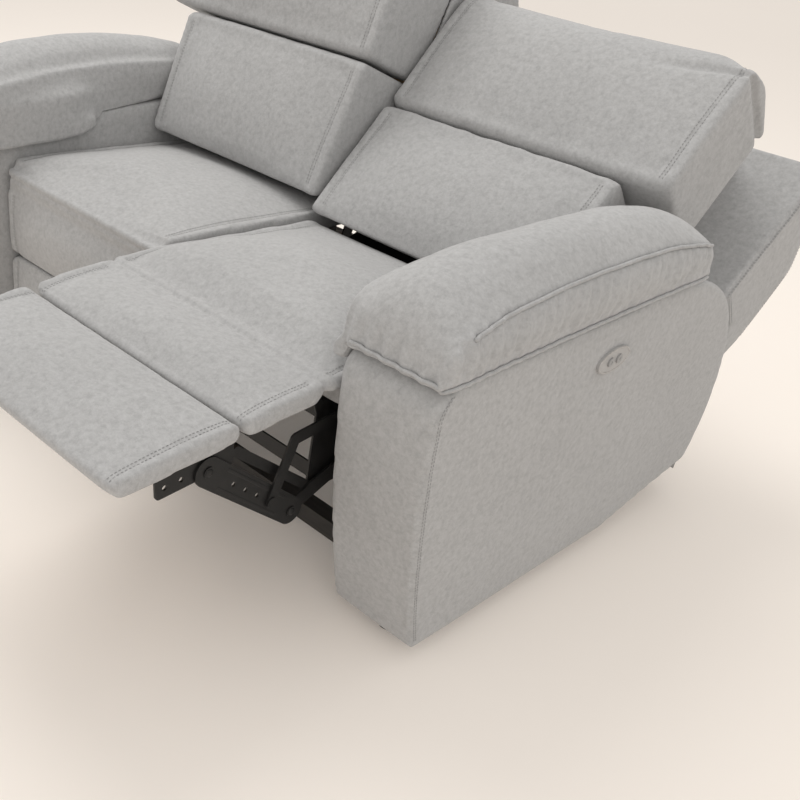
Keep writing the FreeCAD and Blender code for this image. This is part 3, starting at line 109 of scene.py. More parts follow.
class Shader:
    """A node tree with short calls for its nodes."""

    def __init__(self, name):
        self.material = bpy.data.materials.new(name)
        self.material.use_nodes = True
        self.tree = self.material.node_tree
        self.main = self.tree.nodes["Principled BSDF"]
        self.place = self.tree.nodes.new("ShaderNodeTexCoord").outputs["Object"]

    def add(self, kind, **values):
        item = self.tree.nodes.new(kind)
        for key, value in values.items():
            if hasattr(item, key):
                setattr(item, key, value)
            else:
                item.inputs[key.replace("_", " ")].default_value = value
        return item

    def link(self, source, target):
        self.tree.links.new(source, target)

    def noise(self, scale, detail=4.0, rough=0.5, distortion=0.0, stretch=None):
        values = {"Scale": scale, "Detail": detail, "Roughness": rough, "Distortion": distortion}
        item = self.add("ShaderNodeTexNoise", **values)
        place = self.place
        if stretch:
            mapping = self.add("ShaderNodeMapping")
            mapping.inputs["Scale"].default_value = stretch
            self.link(self.place, mapping.inputs["Vector"])
            place = mapping.outputs["Vector"]
        self.link(place, item.inputs["Vector"])
        return item.outputs["Fac"]

    def ramp(self, source, stops):
        item = self.tree.nodes.new("ShaderNodeValToRGB")
        for element, (position, colour) in zip(item.color_ramp.elements, (stops[0], stops[-1])):
            element.position = position
            element.color = (*colour, 1)
        for position, colour in stops[1:-1]:
            item.color_ramp.elements.new(position).color = (*colour, 1)
        self.link(source, item.inputs["Fac"])
        return item.outputs["Color"]

    def blend(self, kind, amount, first, second):
        item = self.tree.nodes.new("ShaderNodeMix")
        item.data_type = "RGBA"
        item.blend_type = kind
        item.inputs["Factor"].default_value = amount
        self.link(first, item.inputs["A"])
        self.link(second, item.inputs["B"])
        return item.outputs["Result"]

    def bump(self, source, strength, distance, before=None):
        item = self.add("ShaderNodeBump", Strength=strength, Distance=distance)
        self.link(source, item.inputs["Height"])
        if before:
            self.link(before, item.inputs["Normal"])
        return item.outputs["Normal"]

    def finish(self, colour=None, normal=None, roughness=None, **values):
        if colour:
            self.link(colour, self.main.inputs["Base Color"])
        if normal:
            self.link(normal, self.main.inputs["Normal"])
        if roughness:
            self.link(roughness, self.main.inputs["Roughness"])
        for key, value in values.items():
            self.main.inputs[key.replace("_", " ")].default_value = value
        return self.material


def grey(value, warm=0.0):
    """A linear grey with a little warmth."""
    return (value * (1 + warm), value, value * (1 - warm))


def suede(name, level):
    """Brushed suede-like cloth: pale grey with soft nap patches, fine grain and pilling."""
    shader = Shader(name)
    cloud = shader.noise(4.0, 3.0, 0.5)
    marks = shader.noise(95.0, 6.0, 0.66, 0.2)
    grain = shader.noise(820.0, 3.0, 0.6)
    tuft = shader.noise(230.0, 4.0, 0.65, 0.3)
    stops = [(0.32, grey(level * 0.86, 0.008)), (0.50, grey(level, 0.008)), (0.68, grey(level * 1.10, 0.006))]
    base = shader.ramp(marks, stops)
    soft = shader.ramp(cloud, [(0.30, grey(0.93)), (0.70, grey(1.0))])
    fine = shader.ramp(grain, [(0.32, grey(0.84)), (0.62, grey(1.0))])
    pile = shader.ramp(tuft, [(0.34, grey(0.86)), (0.60, grey(1.0))])
    colour = shader.blend("MULTIPLY", 0.8, base, soft)
    colour = shader.blend("MULTIPLY", 0.6, colour, fine)
    colour = shader.blend("MULTIPLY", 0.6, colour, pile)
    normal = shader.bump(grain, 0.5, 0.0006)
    normal = shader.bump(tuft, 0.4, 0.0012, normal)
    sheen = {"Sheen_Weight": 0.25, "Sheen_Roughness": 0.55}
    return shader.finish(colour, normal, Roughness=0.92, Specular_IOR_Level=0.2, **sheen)


def metal_paint(name, level, rough):
    """Black coated steel with a slight orange-peel and scuffed tone."""
    shader = Shader(name)
    scuff = shader.noise(60.0, 6.0, 0.6, 0.5)
    peel = shader.noise(700.0, 2.0, 0.5)
    colour = shader.ramp(scuff, [(0.35, grey(level)), (0.75, grey(level * 1.9))])
    shine = shader.ramp(scuff, [(0.3, grey(rough)), (0.7, grey(rough + 0.14))])
    normal = shader.bump(peel, 0.25, 0.0004)
    return shader.finish(colour, normal, shine, Metallic=0.35)


def bright_metal(name, level, rough, stretch):
    """Drawn or oiled steel with fine lines."""
    shader = Shader(name)
    lines = shader.noise(220.0, 5.0, 0.6, 0.2, stretch)
    colour = shader.ramp(lines, [(0.35, grey(level * 0.8)), (0.7, grey(level * 1.1))])
    shine = shader.ramp(lines, [(0.3, grey(rough)), (0.7, grey(rough + 0.15))])
    normal = shader.bump(lines, 0.2, 0.0003)
    return shader.finish(colour, normal, shine, Metallic=1.0)


def timber(name, stops, streak, grain, rough):
    """Sawn softwood: long grain lines and saw marks; streak is how dark the fibre lines are."""
    shader = Shader(name)
    rings = shader.noise(9.0, 5.0, 0.55, 1.0, (1.0, 7.0, 7.0))
    fibre = shader.noise(180.0, 4.0, 0.6, 0.0, (0.15, 1.0, 1.0))
    colour = shader.ramp(rings, stops)
    lines = shader.ramp(fibre, [(0.3, grey(0.75)), (0.65, grey(1.0))])
    colour = shader.blend("MULTIPLY", streak, colour, lines)
    normal = shader.bump(fibre, grain, 0.0006)
    return shader.finish(colour, normal, Roughness=rough)


def moulded(name, level, warm, rough):
    """Moulded plastic with a fine spark-eroded grain."""
    shader = Shader(name)
    grain = shader.noise(1400.0, 3.0, 0.6)
    cloud = shader.noise(40.0, 3.0, 0.5)
    colour = shader.ramp(cloud, [(0.3, grey(level * 0.94, warm)), (0.7, grey(level * 1.04, warm))])
    normal = shader.bump(grain, 0.3, 0.0003)
    return shader.finish(colour, normal, Roughness=rough)


def dust_cloth(name, level):
    """Thin spun-bonded cloth with a small diamond emboss."""
    shader = Shader(name)
    fibre = shader.noise(420.0, 5.0, 0.7, 0.8)
    waves = shader.add("ShaderNodeTexWave", Scale=120.0, Distortion=0.6)
    shader.link(shader.place, waves.inputs["Vector"])
    colour = shader.ramp(fibre, [(0.3, grey(level * 0.6)), (0.7, grey(level * 1.5))])
    normal = shader.bump(waves.outputs["Fac"], 0.3, 0.0005)
    normal = shader.bump(fibre, 0.4, 0.0004, normal)
    return shader.finish(colour, normal, Roughness=0.95)


EVEN = (1.0, 1.0, 1.0)
RAW_RINGS = [(0.3, (0.36, 0.22, 0.11)), (0.5, (0.52, 0.35, 0.19)), (0.7, (0.62, 0.45, 0.27))]
STAINED_RINGS = [(0.3, grey(0.014, 0.05)), (0.7, grey(0.034, 0.08))]
FABRIC = suede("suede_pale_grey", 0.465)
FABRIC_TRIM = suede("suede_piping", 0.455)
THREAD = moulded("stitch_thread", 0.26, 0.01, 0.8)
BLACK_STEEL = metal_paint("black_coated_steel", 0.012, 0.42)
CLOTH = dust_cloth("black_dust_cloth", 0.012)
RIM_METAL = bright_metal("satin_rim", 0.55, 0.3, EVEN)
BLACK_PLASTIC = moulded("black_plastic", 0.015, 0.0, 0.55)
MATERIALS = {
    "suede": FABRIC,
    "wood": timber("sawn_softwood", RAW_RINGS, 0.7, 0.4, 0.75),
    "black_wood": timber("black_stained_softwood", STAINED_RINGS, 0.0, 0.35, 0.6),
    "black_steel": BLACK_STEEL,
    "bright_steel": bright_metal("drawn_bright_rod", 0.62, 0.22, (1.0, 0.1, 1.0)),
    "spring_steel": bright_metal("oiled_spring_wire", 0.20, 0.4, EVEN),
    "deck_cloth": CLOTH,
    "plate_plastic": moulded("pale_grey_plastic", 0.40, 0.02, 0.42),
    "button_plastic": moulded("grey_button_plastic", 0.34, 0.01, 0.5),
    "black_plastic": BLACK_PLASTIC,
}
for part in frame["record"]["subparts"]:
    mesh = nodes[part["node"]].data
    mesh.materials.clear()
    mesh.materials.append(MATERIALS[part["material_slot"]])


# Mesh tools.

def mesh_object(name, points, faces, material):
    """A new object from points and faces, with its own mesh."""
    mesh = bpy.data.meshes.new(name)
    mesh.from_pydata([tuple(point) for point in points], [], [tuple(face) for face in faces])
    mesh.materials.append(material)
    mesh.polygons.foreach_set("use_smooth", [True] * len(mesh.polygons))
    mesh.update()
    return added(name, mesh)


def positions(item):
    """An object's points as an array."""
    flat = np.empty(len(item.data.vertices) * 3)
    item.data.vertices.foreach_get("co", flat)
    return flat.reshape(-1, 3)


def normals(item):
    """The normals at an object's points."""
    flat = np.empty(len(item.data.vertices) * 3)
    item.data.vertices.foreach_get("normal", flat)
    return flat.reshape(-1, 3)


def set_positions(item, points):
    """Puts an object's points in new places."""
    item.data.vertices.foreach_set("co", np.asarray(points, float).ravel())
    item.data.update()


def shifted(item, amounts):
    """Moves each point along its normal."""
    set_positions(item, positions(item) + normals(item) * amounts[:, None])


def applied(item):
    """Applies every modifier to the object's mesh."""
    depsgraph = bpy.context.evaluated_depsgraph_get()
    mesh = bpy.data.meshes.new_from_object(item.evaluated_get(depsgraph))
    old = item.data
    item.modifiers.clear()
    item.data = mesh
    bpy.data.meshes.remove(old)
    item.data.polygons.foreach_set("use_smooth", [True] * len(item.data.polygons))
    return item


def through(item, kind, **values):
    """Puts an object through one modifier."""
    modifier = item.modifiers.new(kind, kind)
    for key, value in values.items():
        setattr(modifier, key, value)
    return applied(item)


def remesh(item, size):
    """Even square faces over the whole surface."""
    return through(item, "REMESH", mode="VOXEL", voxel_size=size)


def subdivide(item):
    """Four rounded faces for each face."""
    return through(item, "SUBSURF", levels=1, render_levels=1)


def relax(item, factor, repeats):
    """Rounds off the edges."""
    return through(item, "SMOOTH", factor=factor, iterations=repeats)


def copy_of(node, name):
    """A new cloth-covered object that starts as a CAD node's shape."""
    item = added(name, nodes[node].data.copy())
    item.data.materials.clear()
    item.data.materials.append(FABRIC)
    return item


def even_copy(node, name, voxel):
    """An evenly meshed copy of a CAD node."""
    return remesh(copy_of(node, name), voxel)


def rise(value, low, high):
    """0 below low, 1 above high, smooth between."""
    share = np.clip((value - low) / (high - low), 0.0, 1.0)
    return share * share * (3 - 2 * share)


CLOTH_STEPS = 15
CLOTH_SETTINGS = {
    "quality": 4,
    "mass": 0.3,
    "tension_stiffness": 12.0,
    "compression_stiffness": 12.0,
    "shear_stiffness": 6.0,
    "bending_stiffness": 0.6,
    "use_pressure": True,
    "uniform_pressure_force": 4.0,
    "vertex_group_mass": "held",
}


def puff(item, free, cap):
    """Cloth with air inside, moved by no more than cap; free is 1 where it may move, 0 where held."""
    before = positions(item)
    group = item.vertex_groups.new(name="held")
    for index, amount in enumerate(free):
        group.add([index], float(1.0 - amount), "REPLACE")
    modifier = item.modifiers.new("cloth", "CLOTH")
    for key, value in CLOTH_SETTINGS.items():
        setattr(modifier.settings, key, value)
    modifier.settings.effector_weights.gravity = 0.0
    modifier.collision_settings.use_collision = False
    scene = bpy.context.scene
    for step in range(CLOTH_STEPS):
        scene.frame_set(step + 1)
    applied(item)
    scene.frame_set(1)
    after = positions(item)
    move = after - before
    length = np.linalg.norm(move, axis=1)
    scale = np.where(length > cap, cap / np.maximum(length, 1e-9), 1.0)
    set_positions(item, before + move * scale[:, None])
    item.vertex_groups.clear()
    return item


def surface(item):
    """A search tree over an object's faces."""
    points = positions(item)
    faces = [tuple(face.vertices) for face in item.data.polygons]
    return BVHTree.FromPolygons([Vector(point) for point in points], faces)


DROP = 0.4


def places_of(found):
    """The points alone, from points with normals."""
    return [place for place, normal in found]


def kept(hits):
    """Places and normals of the searches that met the surface."""
    return [(place, normal) for place, normal, index, distance in hits if place is not None]


def drape(tree, points, direction):
    """Points dropped on a surface along a direction, with the surface's normals."""
    way = Vector(direction).normalized()
    return kept(tree.ray_cast(Vector(point) - way * DROP, way) for point in points)


def snapped(tree, points):
    """The nearest points on a surface, with its normals."""
    return kept(tree.find_nearest(Vector(point)) for point in points)


def even_path(points, step):
    """The same line with even steps."""
    points = [Vector(point) for point in points]
    lengths = [0.0]
    for first, second in zip(points, points[1:]):
        lengths.append(lengths[-1] + (second - first).length)
    count = max(2, int(lengths[-1] / step) + 1)
    result = []
    index = 0
    for place in np.linspace(0, lengths[-1], count):
        while index < len(points) - 2 and lengths[index + 1] < place:
            index += 1
        span = max(lengths[index + 1] - lengths[index], 1e-9)
        result.append(points[index].lerp(points[index + 1], (place - lengths[index]) / span))
    return result


def near_points(points):
    """A search tree over points."""
    tree = KDTree(len(points))
    for index, point in enumerate(points):
        tree.insert(point, index)
    tree.balance()
    return tree


def groove(item, found, depth, width):
    """Pulls a seam line into the surface, with soft shoulders."""
    tree = near_points(places_of(found))
    points = positions(item)
    facing = normals(item)
    for index, point in enumerate(points):
        distance = tree.find(point)[2]
        if distance < width * 2.6:
            points[index] = point - facing[index] * depth * math.exp(-(distance / width) ** 2)
    set_positions(item, points)


def ring_faces(levels, sides):
    """The faces between rings of points."""
    faces = []
    for base in range(0, levels * sides, sides):
        for side in range(sides):
            first = base + side
            second = base + (side + 1) % sides
            faces.append((first, second, second + sides, first + sides))
    return faces


def tube(name, path, radius, material, sides=8, closed=False):
    """A round tube along a path."""
    path = [Vector(point) for point in path]
    count = len(path)
    points = []
    across = None
    for index, point in enumerate(path):
        before = path[index - 1] if index or closed else point
        after = path[(index + 1) % count] if index < count - 1 or closed else point
        along = (after - before).normalized()
        if across is None:
            across = along.orthogonal().normalized()
        across = (across - along * across.dot(along)).normalized()
        other = along.cross(across)
        for side in range(sides):
            angle = 2 * math.pi * side / sides
            points.append(point + (across * math.cos(angle) + other * math.sin(angle)) * radius)
    rings = count if closed else count - 1
    faces = [tuple(index % len(points) for index in face) for face in ring_faces(rings, sides)]
    if not closed:
        faces.append(tuple(reversed(range(sides))))
        faces.append(tuple((count - 1) * sides + side for side in range(sides)))
    return mesh_object(name, points, faces, material)


STITCH_LENGTH = 0.0042
STITCH_GAP = 0.0026
STITCH_RADIUS = 0.00055
STITCH_PROFILE = ((0.0, 0.0), (0.25, 1.0), (0.75, 1.0), (1.0, 0.0))


def stitches(name, seams):
    """Short raised threads along seams; each seam is a list of surface points with normals."""
    points = []
    faces = []
    for seam in seams:
        places = places_of(seam)
        if len(places) < 3:
            continue
        line = even_path(places, (STITCH_LENGTH + STITCH_GAP) / 2)
        tree = near_points(places)
        for index in range(0, len(line) - 1, 2):
            start = line[index]
            along = line[index + 1] - start
            if along.length < 1e-6:
                continue
            along.normalize()
            facing = seam[tree.find(start)[1]][1]
            side = along.cross(facing).normalized() * STITCH_RADIUS
            lift = facing * STITCH_RADIUS * 1.1
            base = len(points)
            for share, height in STITCH_PROFILE:
                centre = start + along * STITCH_LENGTH * share + lift * height
                points.extend((centre - side, centre + lift * 0.9, centre + side))
            for ring in range(3):
                a = base + ring * 3
                faces.extend(((a, a + 1, a + 4, a + 3), (a + 1, a + 2, a + 5, a + 4)))
    return mesh_object(name, points, faces, THREAD)


def joined(name, items):
    """Several objects made one."""
    points = []
    faces = []
    kinds = []
    materials = []
    for item in items:
        base = len(points)
        points.extend(tuple(point.co) for point in item.data.vertices)
        material = item.data.materials[0]
        if material not in materials:
            materials.append(material)
        for face in item.data.polygons:
            faces.append(tuple(base + index for index in face.vertices))
            kinds.append(materials.index(material))
    whole = mesh_object(name, points, faces, materials[0])
    for material in materials[1:]:
        whole.data.materials.append(material)
    whole.data.polygons.foreach_set("material_index", kinds)
    for item in items:
        bpy.data.objects.remove(item)
    return whole


# Where the seats, footrests and backs stand, right one stretched and left one folded. Turns in degrees.

SEAT_MIDDLE = 0.2925
SLIDE_TRAVEL = 0.14
HINGE = Vector((0.0, -0.522, 0.474))
FOOT_TURN = {"right": 4.0, "left": 90.0}
BACK_HINGE = Vector((0.0, -0.116, 0.238))
BACK_CORNER = Vector((0.0, -0.010, 0.528))
BACK_LEAN = -46.0
BACK_TURN = {"right": 0.0, "left": 24.0}


def turned(about, degrees):
    """A turn about a line along X through a point."""
    rotation = Matrix.Rotation(math.radians(degrees), 4, "X")
    return Matrix.Translation(about) @ rotation @ Matrix.Translation(-about)


SEAT = {}
FOOT = {}
BACK = {}
for side in SIDES:
    slid = SLIDE_TRAVEL if FOLDED[side] else 0.0
    SEAT[side] = Matrix.Translation((SIGN[side] * SEAT_MIDDLE, slid, 0.0))
    FOOT[side] = SEAT[side] @ turned(HINGE, FOOT_TURN[side])
    leaning = Matrix.Translation(BACK_CORNER) @ Matrix.Rotation(math.radians(BACK_LEAN), 4, "X")
    BACK[side] = SEAT[side] @ turned(BACK_HINGE, BACK_TURN[side]) @ leaning


def to_world(matrix, points):
    """An array of points from a seat's own frame to the sofa's frame."""
    whole = np.array(matrix)
    return np.asarray(points, float) @ whole[:3, :3].T + whole[:3, 3]


def to_local(matrix, points):
    """An array of points from the sofa's frame to a seat's own frame."""
    return to_world(matrix.inverted(), points)


def turned_only(matrix, vectors):
    """An array of directions from the sofa's frame to a seat's own frame."""
    return vectors @ np.array(matrix.inverted())[:3, :3].T


def wrinkle(points, scale, seed, stretch=(1.0, 1.0, 1.0)):
    """Smooth noise at each point."""
    offset = Vector((seed * 7.3, seed * 3.1, seed * 5.7))
    stretch = Vector(stretch)
    values = [noise.noise(Vector(p) * scale * stretch + offset) for p in points]
    return np.array(values)


def dressed(item, body, *cad_nodes, padded=None, slot="suede"):
    """Puts a finished piece on its body in place of its CAD nodes."""
    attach(item, body)
    if cad_nodes:
        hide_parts(*cad_nodes)
    return item


# Seat, footrest and back cushions.

CUSHION_HALF = 0.289
LOOSE_HALF = 0.282
CUSHION_VOXEL = 0.007
BACK_VOXEL = 0.008

# The block that joins the seat cushion and the front pad: depth and height of its low and high edges.
BRIDGE_HALF = 0.281
BRIDGE = {"right": ((-0.556, 0.489), (-0.534, 0.510)), "left": ((-0.418, 0.444), (-0.394, 0.492))}

# How much the middle of the seat rises, and the start of its noise.
FULLER = {"right": 0.034, "left": 0.008}
SEAT_SEED = {"right": 3, "left": 9}

# The seam between seat and front pad: a point, the way across it, the way to look at it, its blend's ends.
SEAM_PLACE = {"right": np.array((0.0, -0.543, 0.500)), "left": np.array((0.0, -0.405, 0.468))}
SEAM_WAY = {"right": np.array((0.0, -1.0, 0.0)), "left": np.array((0.0, -0.35, -0.937))}
SEAM_VIEW = {"right": (0.0, 0.0, -1.0), "left": (0.0, 1.0, -0.2)}
SEAM_END = {
    "right": ((0.0, -0.530, 0.0), (0.0, -0.556, 0.0)),
    "left": ((0.0, -0.385, 0.471), (0.0, -0.407, 0.449)),
}


def block(low, high):
    """A plain closed block, later melted into its neighbours."""
    points = [(x, y, z) for x in (low[0], high[0]) for y in (low[1], high[1]) for z in (low[2], high[2])]
    faces = [(0, 1, 3, 2), (4, 6, 7, 5), (0, 4, 5, 1), (2, 3, 7, 6), (0, 2, 6, 4), (1, 5, 7, 3)]
    return mesh_object("block", points, faces, FABRIC)


def seat_cover(side):
    """The seat's cloth, which runs over the nose and on down the front pad."""
    matrix = SEAT[side]
    middle = SIGN[side] * SEAT_MIDDLE
    low, high = BRIDGE[side]
    bridge = block((middle - BRIDGE_HALF, *low), (middle + BRIDGE_HALF, *high))
    parts = [copy_of(f"{side}_seat_cushion", "seat"), copy_of(f"{side}_front_pad", "pad"), bridge]
    item = remesh(joined(f"{side}_seat_upholstery", parts), CUSHION_VOXEL)
    world = positions(item)
    local = to_local(matrix, world)
    facing = turned_only(matrix, normals(item))
    foot_facing = turned_only(FOOT[side], normals(item))
    x, z = local.T[[0, 2]]
    beyond = SEAM_WAY[side] @ (world - SEAM_PLACE[side]).T
    on_pad = rise(beyond, -0.004, 0.004)
    top = rise(facing[:, 2], 0.1, 0.7)
    front = rise(-facing[:, 1], 0.3, 0.8) * rise(z, 0.485, 0.495)
    ends = rise(np.abs(facing[:, 0]), 0.5, 0.9)
    seat_free = np.clip(top + 0.6 * front + 0.15 * ends, 0, 1)
    pad_free = np.clip(rise(foot_facing[:, 2], 0.0, 0.7) + 0.2 * ends, 0, 1) * 0.8
    free = seat_free * (1 - on_pad) + pad_free * on_pad
    free *= 0.25 + 0.75 * rise(LOOSE_HALF - np.abs(x), 0.0, 0.03)
    free *= 0.1 + 0.9 * rise(np.abs(beyond), 0.004, 0.034)
    shifted(item, -0.012 * free)
    puff(item, free, 0.024)
    world = positions(item)
    points = to_local(matrix, world)
    points[:, 0] = np.clip(points[:, 0], -CUSHION_HALF, CUSHION_HALF)
    across = np.clip(1 - (np.abs(points[:, 0]) / CUSHION_HALF) ** 12, 0, 1)
    along = rise(points[:, 1], -0.55, -0.44) * (1 - rise(points[:, 1], -0.22, 0.0))
    points[:, 2] += FULLER[side] * across * along * rise(points[:, 2], 0.49, 0.52)
    world = to_world(matrix, points)
    seed = SEAT_SEED[side]
    swell = wrinkle(points, 7.0, seed) + wrinkle(points, 17.0, 5, (0.5, 1.0, 1.0)) * 0.4
    gap = np.abs(SEAM_WAY[side] @ (world - SEAM_PLACE[side]).T)
    pucker = wrinkle(points, 30.0, seed + 2, (1.0, 0.25, 0.25)) * np.exp(-gap / 0.03)
    world += normals(item) * (swell * 0.0032 * free + pucker * 0.004 * free)[:, None]
    set_positions(item, world)
    subdivide(item)
    return item


FOOT_SEED = {"right": 4, "left": 14}
PAD_CREASE = -0.714


def foot_pad(side):
    """The footrest's own pad beyond the crease."""
    matrix = FOOT[side]
    item = even_copy(f"{side}_footrest_pad", f"{side}_footrest_upholstery", CUSHION_VOXEL)
    local = to_local(matrix, positions(item))
    facing = turned_only(matrix, normals(item))
    ends = rise(np.abs(facing[:, 0]), 0.5, 0.9)
    free = np.clip(rise(facing[:, 2], 0.0, 0.7) + 0.3 * ends, 0, 1)
    free *= 0.2 + 0.8 * rise(LOOSE_HALF - np.abs(local[:, 0]), 0.0, 0.03)
    shifted(item, -0.010 * free)
    puff(item, free, 0.019)
    points = to_local(matrix, positions(item))
    points[:, 0] = np.clip(points[:, 0], -CUSHION_HALF, CUSHION_HALF)
    seed = FOOT_SEED[side]
    near = np.exp(-np.abs(points[:, 1] - PAD_CREASE) / 0.03)
    pucker = wrinkle(points, 30.0, seed + 1, (1.0, 0.25, 0.25)) * 0.004 * near
    lift = rise(points[:, 2], 0.50, 0.52)
    points[:, 2] += (wrinkle(points, 8.0, seed) * 0.003 + pucker) * lift
    set_positions(item, to_world(matrix, points))
    subdivide(item)
    return item


# How far a cushion reaches out over the arm, the height of its crease, and the start of its noise.
REACH = {"lumbar": 0.0, "head": 0.088}
CREASE = {"lumbar": 0.262, "head": 0.266}
BACK_SEED = {
    "right": {"lumbar": 1, "head": 6},
    "left": {"lumbar": 11, "head": 16},
}


def back_cushion(side, part):
    """A back cushion: soft on its face, creased at the line between lumbar and head cushion."""
    matrix = BACK[side]
    item = even_copy(f"{side}_{part}_cushion", f"{side}_{part}_upholstery", BACK_VOXEL)
    local = to_local(matrix, positions(item))
    facing = turned_only(matrix, normals(item))
    x, y, z = local.T
    away = rise(-facing[:, 1], -0.3, 0.4) * rise(0.13 - y, 0.0, 0.06)
    if part == "head":
        crown = rise(facing[:, 2], 0.2, 0.8)
    else:
        crown = 0.3 * rise(-facing[:, 2], 0.2, 0.8)
    free = np.clip(away + crown, 0, 1)
    reach = REACH[part]
    shift = SIGN[side] * (reach / 2)
    width = 0.280 + reach / 2
    free *= 0.25 + 0.75 * rise(width - np.abs(x - shift), 0.0, 0.04)
    crease = CREASE[part]
    free *= 0.15 + 0.85 * rise(np.abs(z - crease), 0.0, 0.05)
    shifted(item, -0.012 * free)
    puff(item, free, 0.028)
    points = to_local(matrix, positions(item))
    low, high = sorted((SIGN[side] * (CUSHION_HALF + reach), -SIGN[side] * CUSHION_HALF))
    points[:, 0] = np.clip(points[:, 0], low, high)
    near = np.exp(-(np.abs(points[:, 2] - crease) / 0.07))
    seed = BACK_SEED[side][part]
    pucker = wrinkle(points, 26.0, seed, (1.0, 0.3, 0.25)) * 0.006 * near
    broad = wrinkle(points, 7.0, seed + 1) * 0.004
    soft = rise(0.14 - points[:, 1], 0.0, 0.05)
    points[:, 1] -= (pucker + broad) * soft
    if part == "head":
        outward = points[:, 0] * SIGN[side]
        fold = 0.495 + 0.03 * rise(outward, 0.2, 0.37)
        valley = np.exp(-((points[:, 2] - fold) / 0.011) ** 2) * rise(outward, 0.10, 0.34)
        facing = turned_only(matrix, normals(item))
        points -= facing * (valley * 0.011)[:, None]
        corner = rise(outward, 0.27, 0.40) * rise(points[:, 2], 0.50, 0.61)
        points[:, 2] -= 0.050 * corner
    set_positions(item, to_world(matrix, points))
    subdivide(item)
    return item


SEAM_STEP = 0.005
THREAD_STEP = 0.004
THREAD_INSET = 0.006
SIDE_SEAM = 0.266
BACK_SEAM = 0.262

# Each back cushion with the heights where its side seams start and end.
BACK_PARTS = (("lumbar", 0.0, 0.24), ("head", 0.285, 0.54))
DOWN = (0, 0, -1)
REARWARD = (0, 1, 0)


def side_seams(item, matrix, lines, direction):
    """Sinks seams into a cushion and returns two surface lines for each: on the seam and further in."""
    seams = []
    along = matrix.to_3x3() @ Vector(direction)
    for line in lines:
        path = even_path(to_world(matrix, line), SEAM_STEP)
        groove(item, drape(surface(item), path, along), 0.0025, 0.0035)
        seams.append(drape(surface(item), path, along))
        inward = THREAD_INSET if line[0][0] < 0 else -THREAD_INSET
        beside = [tuple(Vector(point) + Vector((inward, 0, 0))) for point in line]
        path = even_path(to_world(matrix, beside), THREAD_STEP)
        seams.append(drape(surface(item), path, along))
    return seams


def pad_lines(low, high, count):
    """The two seam lines along a seat's or a pad's sides."""
    return [[(edge, y, 0.5) for y in np.linspace(low, high, count)] for edge in (-SIDE_SEAM, SIDE_SEAM)]


for side in SIDES:
    body = f"{side}_seat_body"
    foot_body = f"{side}_footrest_body"
    back_body = f"{side}_back_body"
    cover = seat_cover(side)
    middle = SIGN[side] * SEAT_MIDDLE
    seam = [(x + middle, *SEAM_PLACE[side][1:]) for x in np.linspace(-0.283, 0.283, 120)]
    groove(cover, drape(surface(cover), seam, SEAM_VIEW[side]), 0.004, 0.005)
    threads = []
    pad_threads = []
    for seat_line, pad_line in zip(pad_lines(-0.522, -0.03, 40), pad_lines(-0.705, -0.562, 20)):
        threads += side_seams(cover, SEAT[side], [seat_line], DOWN)
        pad_threads += side_seams(cover, FOOT[side], [pad_line], DOWN)
    pad = foot_pad(side)
    pad_threads += side_seams(pad, FOOT[side], pad_lines(-0.94, -0.722, 20), DOWN)
    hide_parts(f"{side}_seat_cushion", f"{side}_front_pad")
    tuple(SEAM_END[side][0])
    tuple(SEAM_END[side][1])
    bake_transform(cover)
    dressed(pad, foot_body, f"{side}_footrest_pad", padded=0.75)
    dressed(stitches(f"{side}_seat_stitching", threads), body)
    dressed(stitches(f"{side}_footrest_stitching", pad_threads), foot_body)
    threads = []
    for part, low, high in BACK_PARTS:
        pad = back_cushion(side, part)
        edges = sorted((SIGN[side] * (BACK_SEAM + REACH[part]), -SIGN[side] * BACK_SEAM))
        lines = [[(edge, 0.0, z) for z in np.linspace(low, high, 30)] for edge in edges]
        threads += side_seams(pad, BACK[side], lines, REARWARD)
        dressed(pad, back_body, f"{side}_{part}_cushion", padded=0.7)
    dressed(stitches(f"{side}_back_stitching", threads), back_body)


# Arms.

def arc_points(start, end, radius, count):
    """Points on an arc that bows to the right of its way, or on a line, without the last point."""
    start = Vector(start)
    end = Vector(end)
    if radius is None:
        return [start.lerp(end, index / count) for index in range(count)]
    chord = end - start
    half = chord.length / 2
    inward = Vector((-chord.y, chord.x)).normalized()
    centre = (start + end) / 2 + inward * math.sqrt(radius ** 2 - half ** 2)
    first = math.atan2(start.y - centre.y, start.x - centre.x)
    last = math.atan2(end.y - centre.y, end.x - centre.x)
    if last < first:
        last += 2 * math.pi
    result = []
    for index in range(count):
        angle = first + (last - first) * index / count
        result.append(centre + Vector((math.cos(angle), math.sin(angle))) * radius)
    return result


# The arm's side view: each corner's depth and height, the radius of the way to the next, and its points.
ARM_LINE = (
    ((-0.450, 0.038), None, 24),
    ((0.160, 0.038), None, 14),
    ((0.465, 0.097), 0.395, 14),
    ((0.476, 0.290), 0.333, 22),
    ((0.170, 0.577), None, 30),
    ((-0.486, 0.577), 0.048, 8),
    ((-0.534, 0.520), 2.15, 24),
)
ARM_INNER = 0.585
ARM_OUTER = 0.780


def arm_line():
    """The arm's side view as dense points of depth and height."""
    points = []
    for index, (start, radius, count) in enumerate(ARM_LINE):
        end = ARM_LINE[(index + 1) % len(ARM_LINE)][0]
        points.extend(arc_points(start, end, radius, count))
    return points


def prism(name, line, low, high):
    """A closed block between two planes across X with a side view of points."""
    count = len(line)
    points = [(low, p.x, p.y) for p in line] + [(high, p.x, p.y) for p in line]
    faces = [tuple(reversed(range(count))), tuple(range(count, 2 * count))]
    return mesh_object(name, points, faces + ring_faces(1, count), FABRIC)


PLATE_ROOM = 0.06


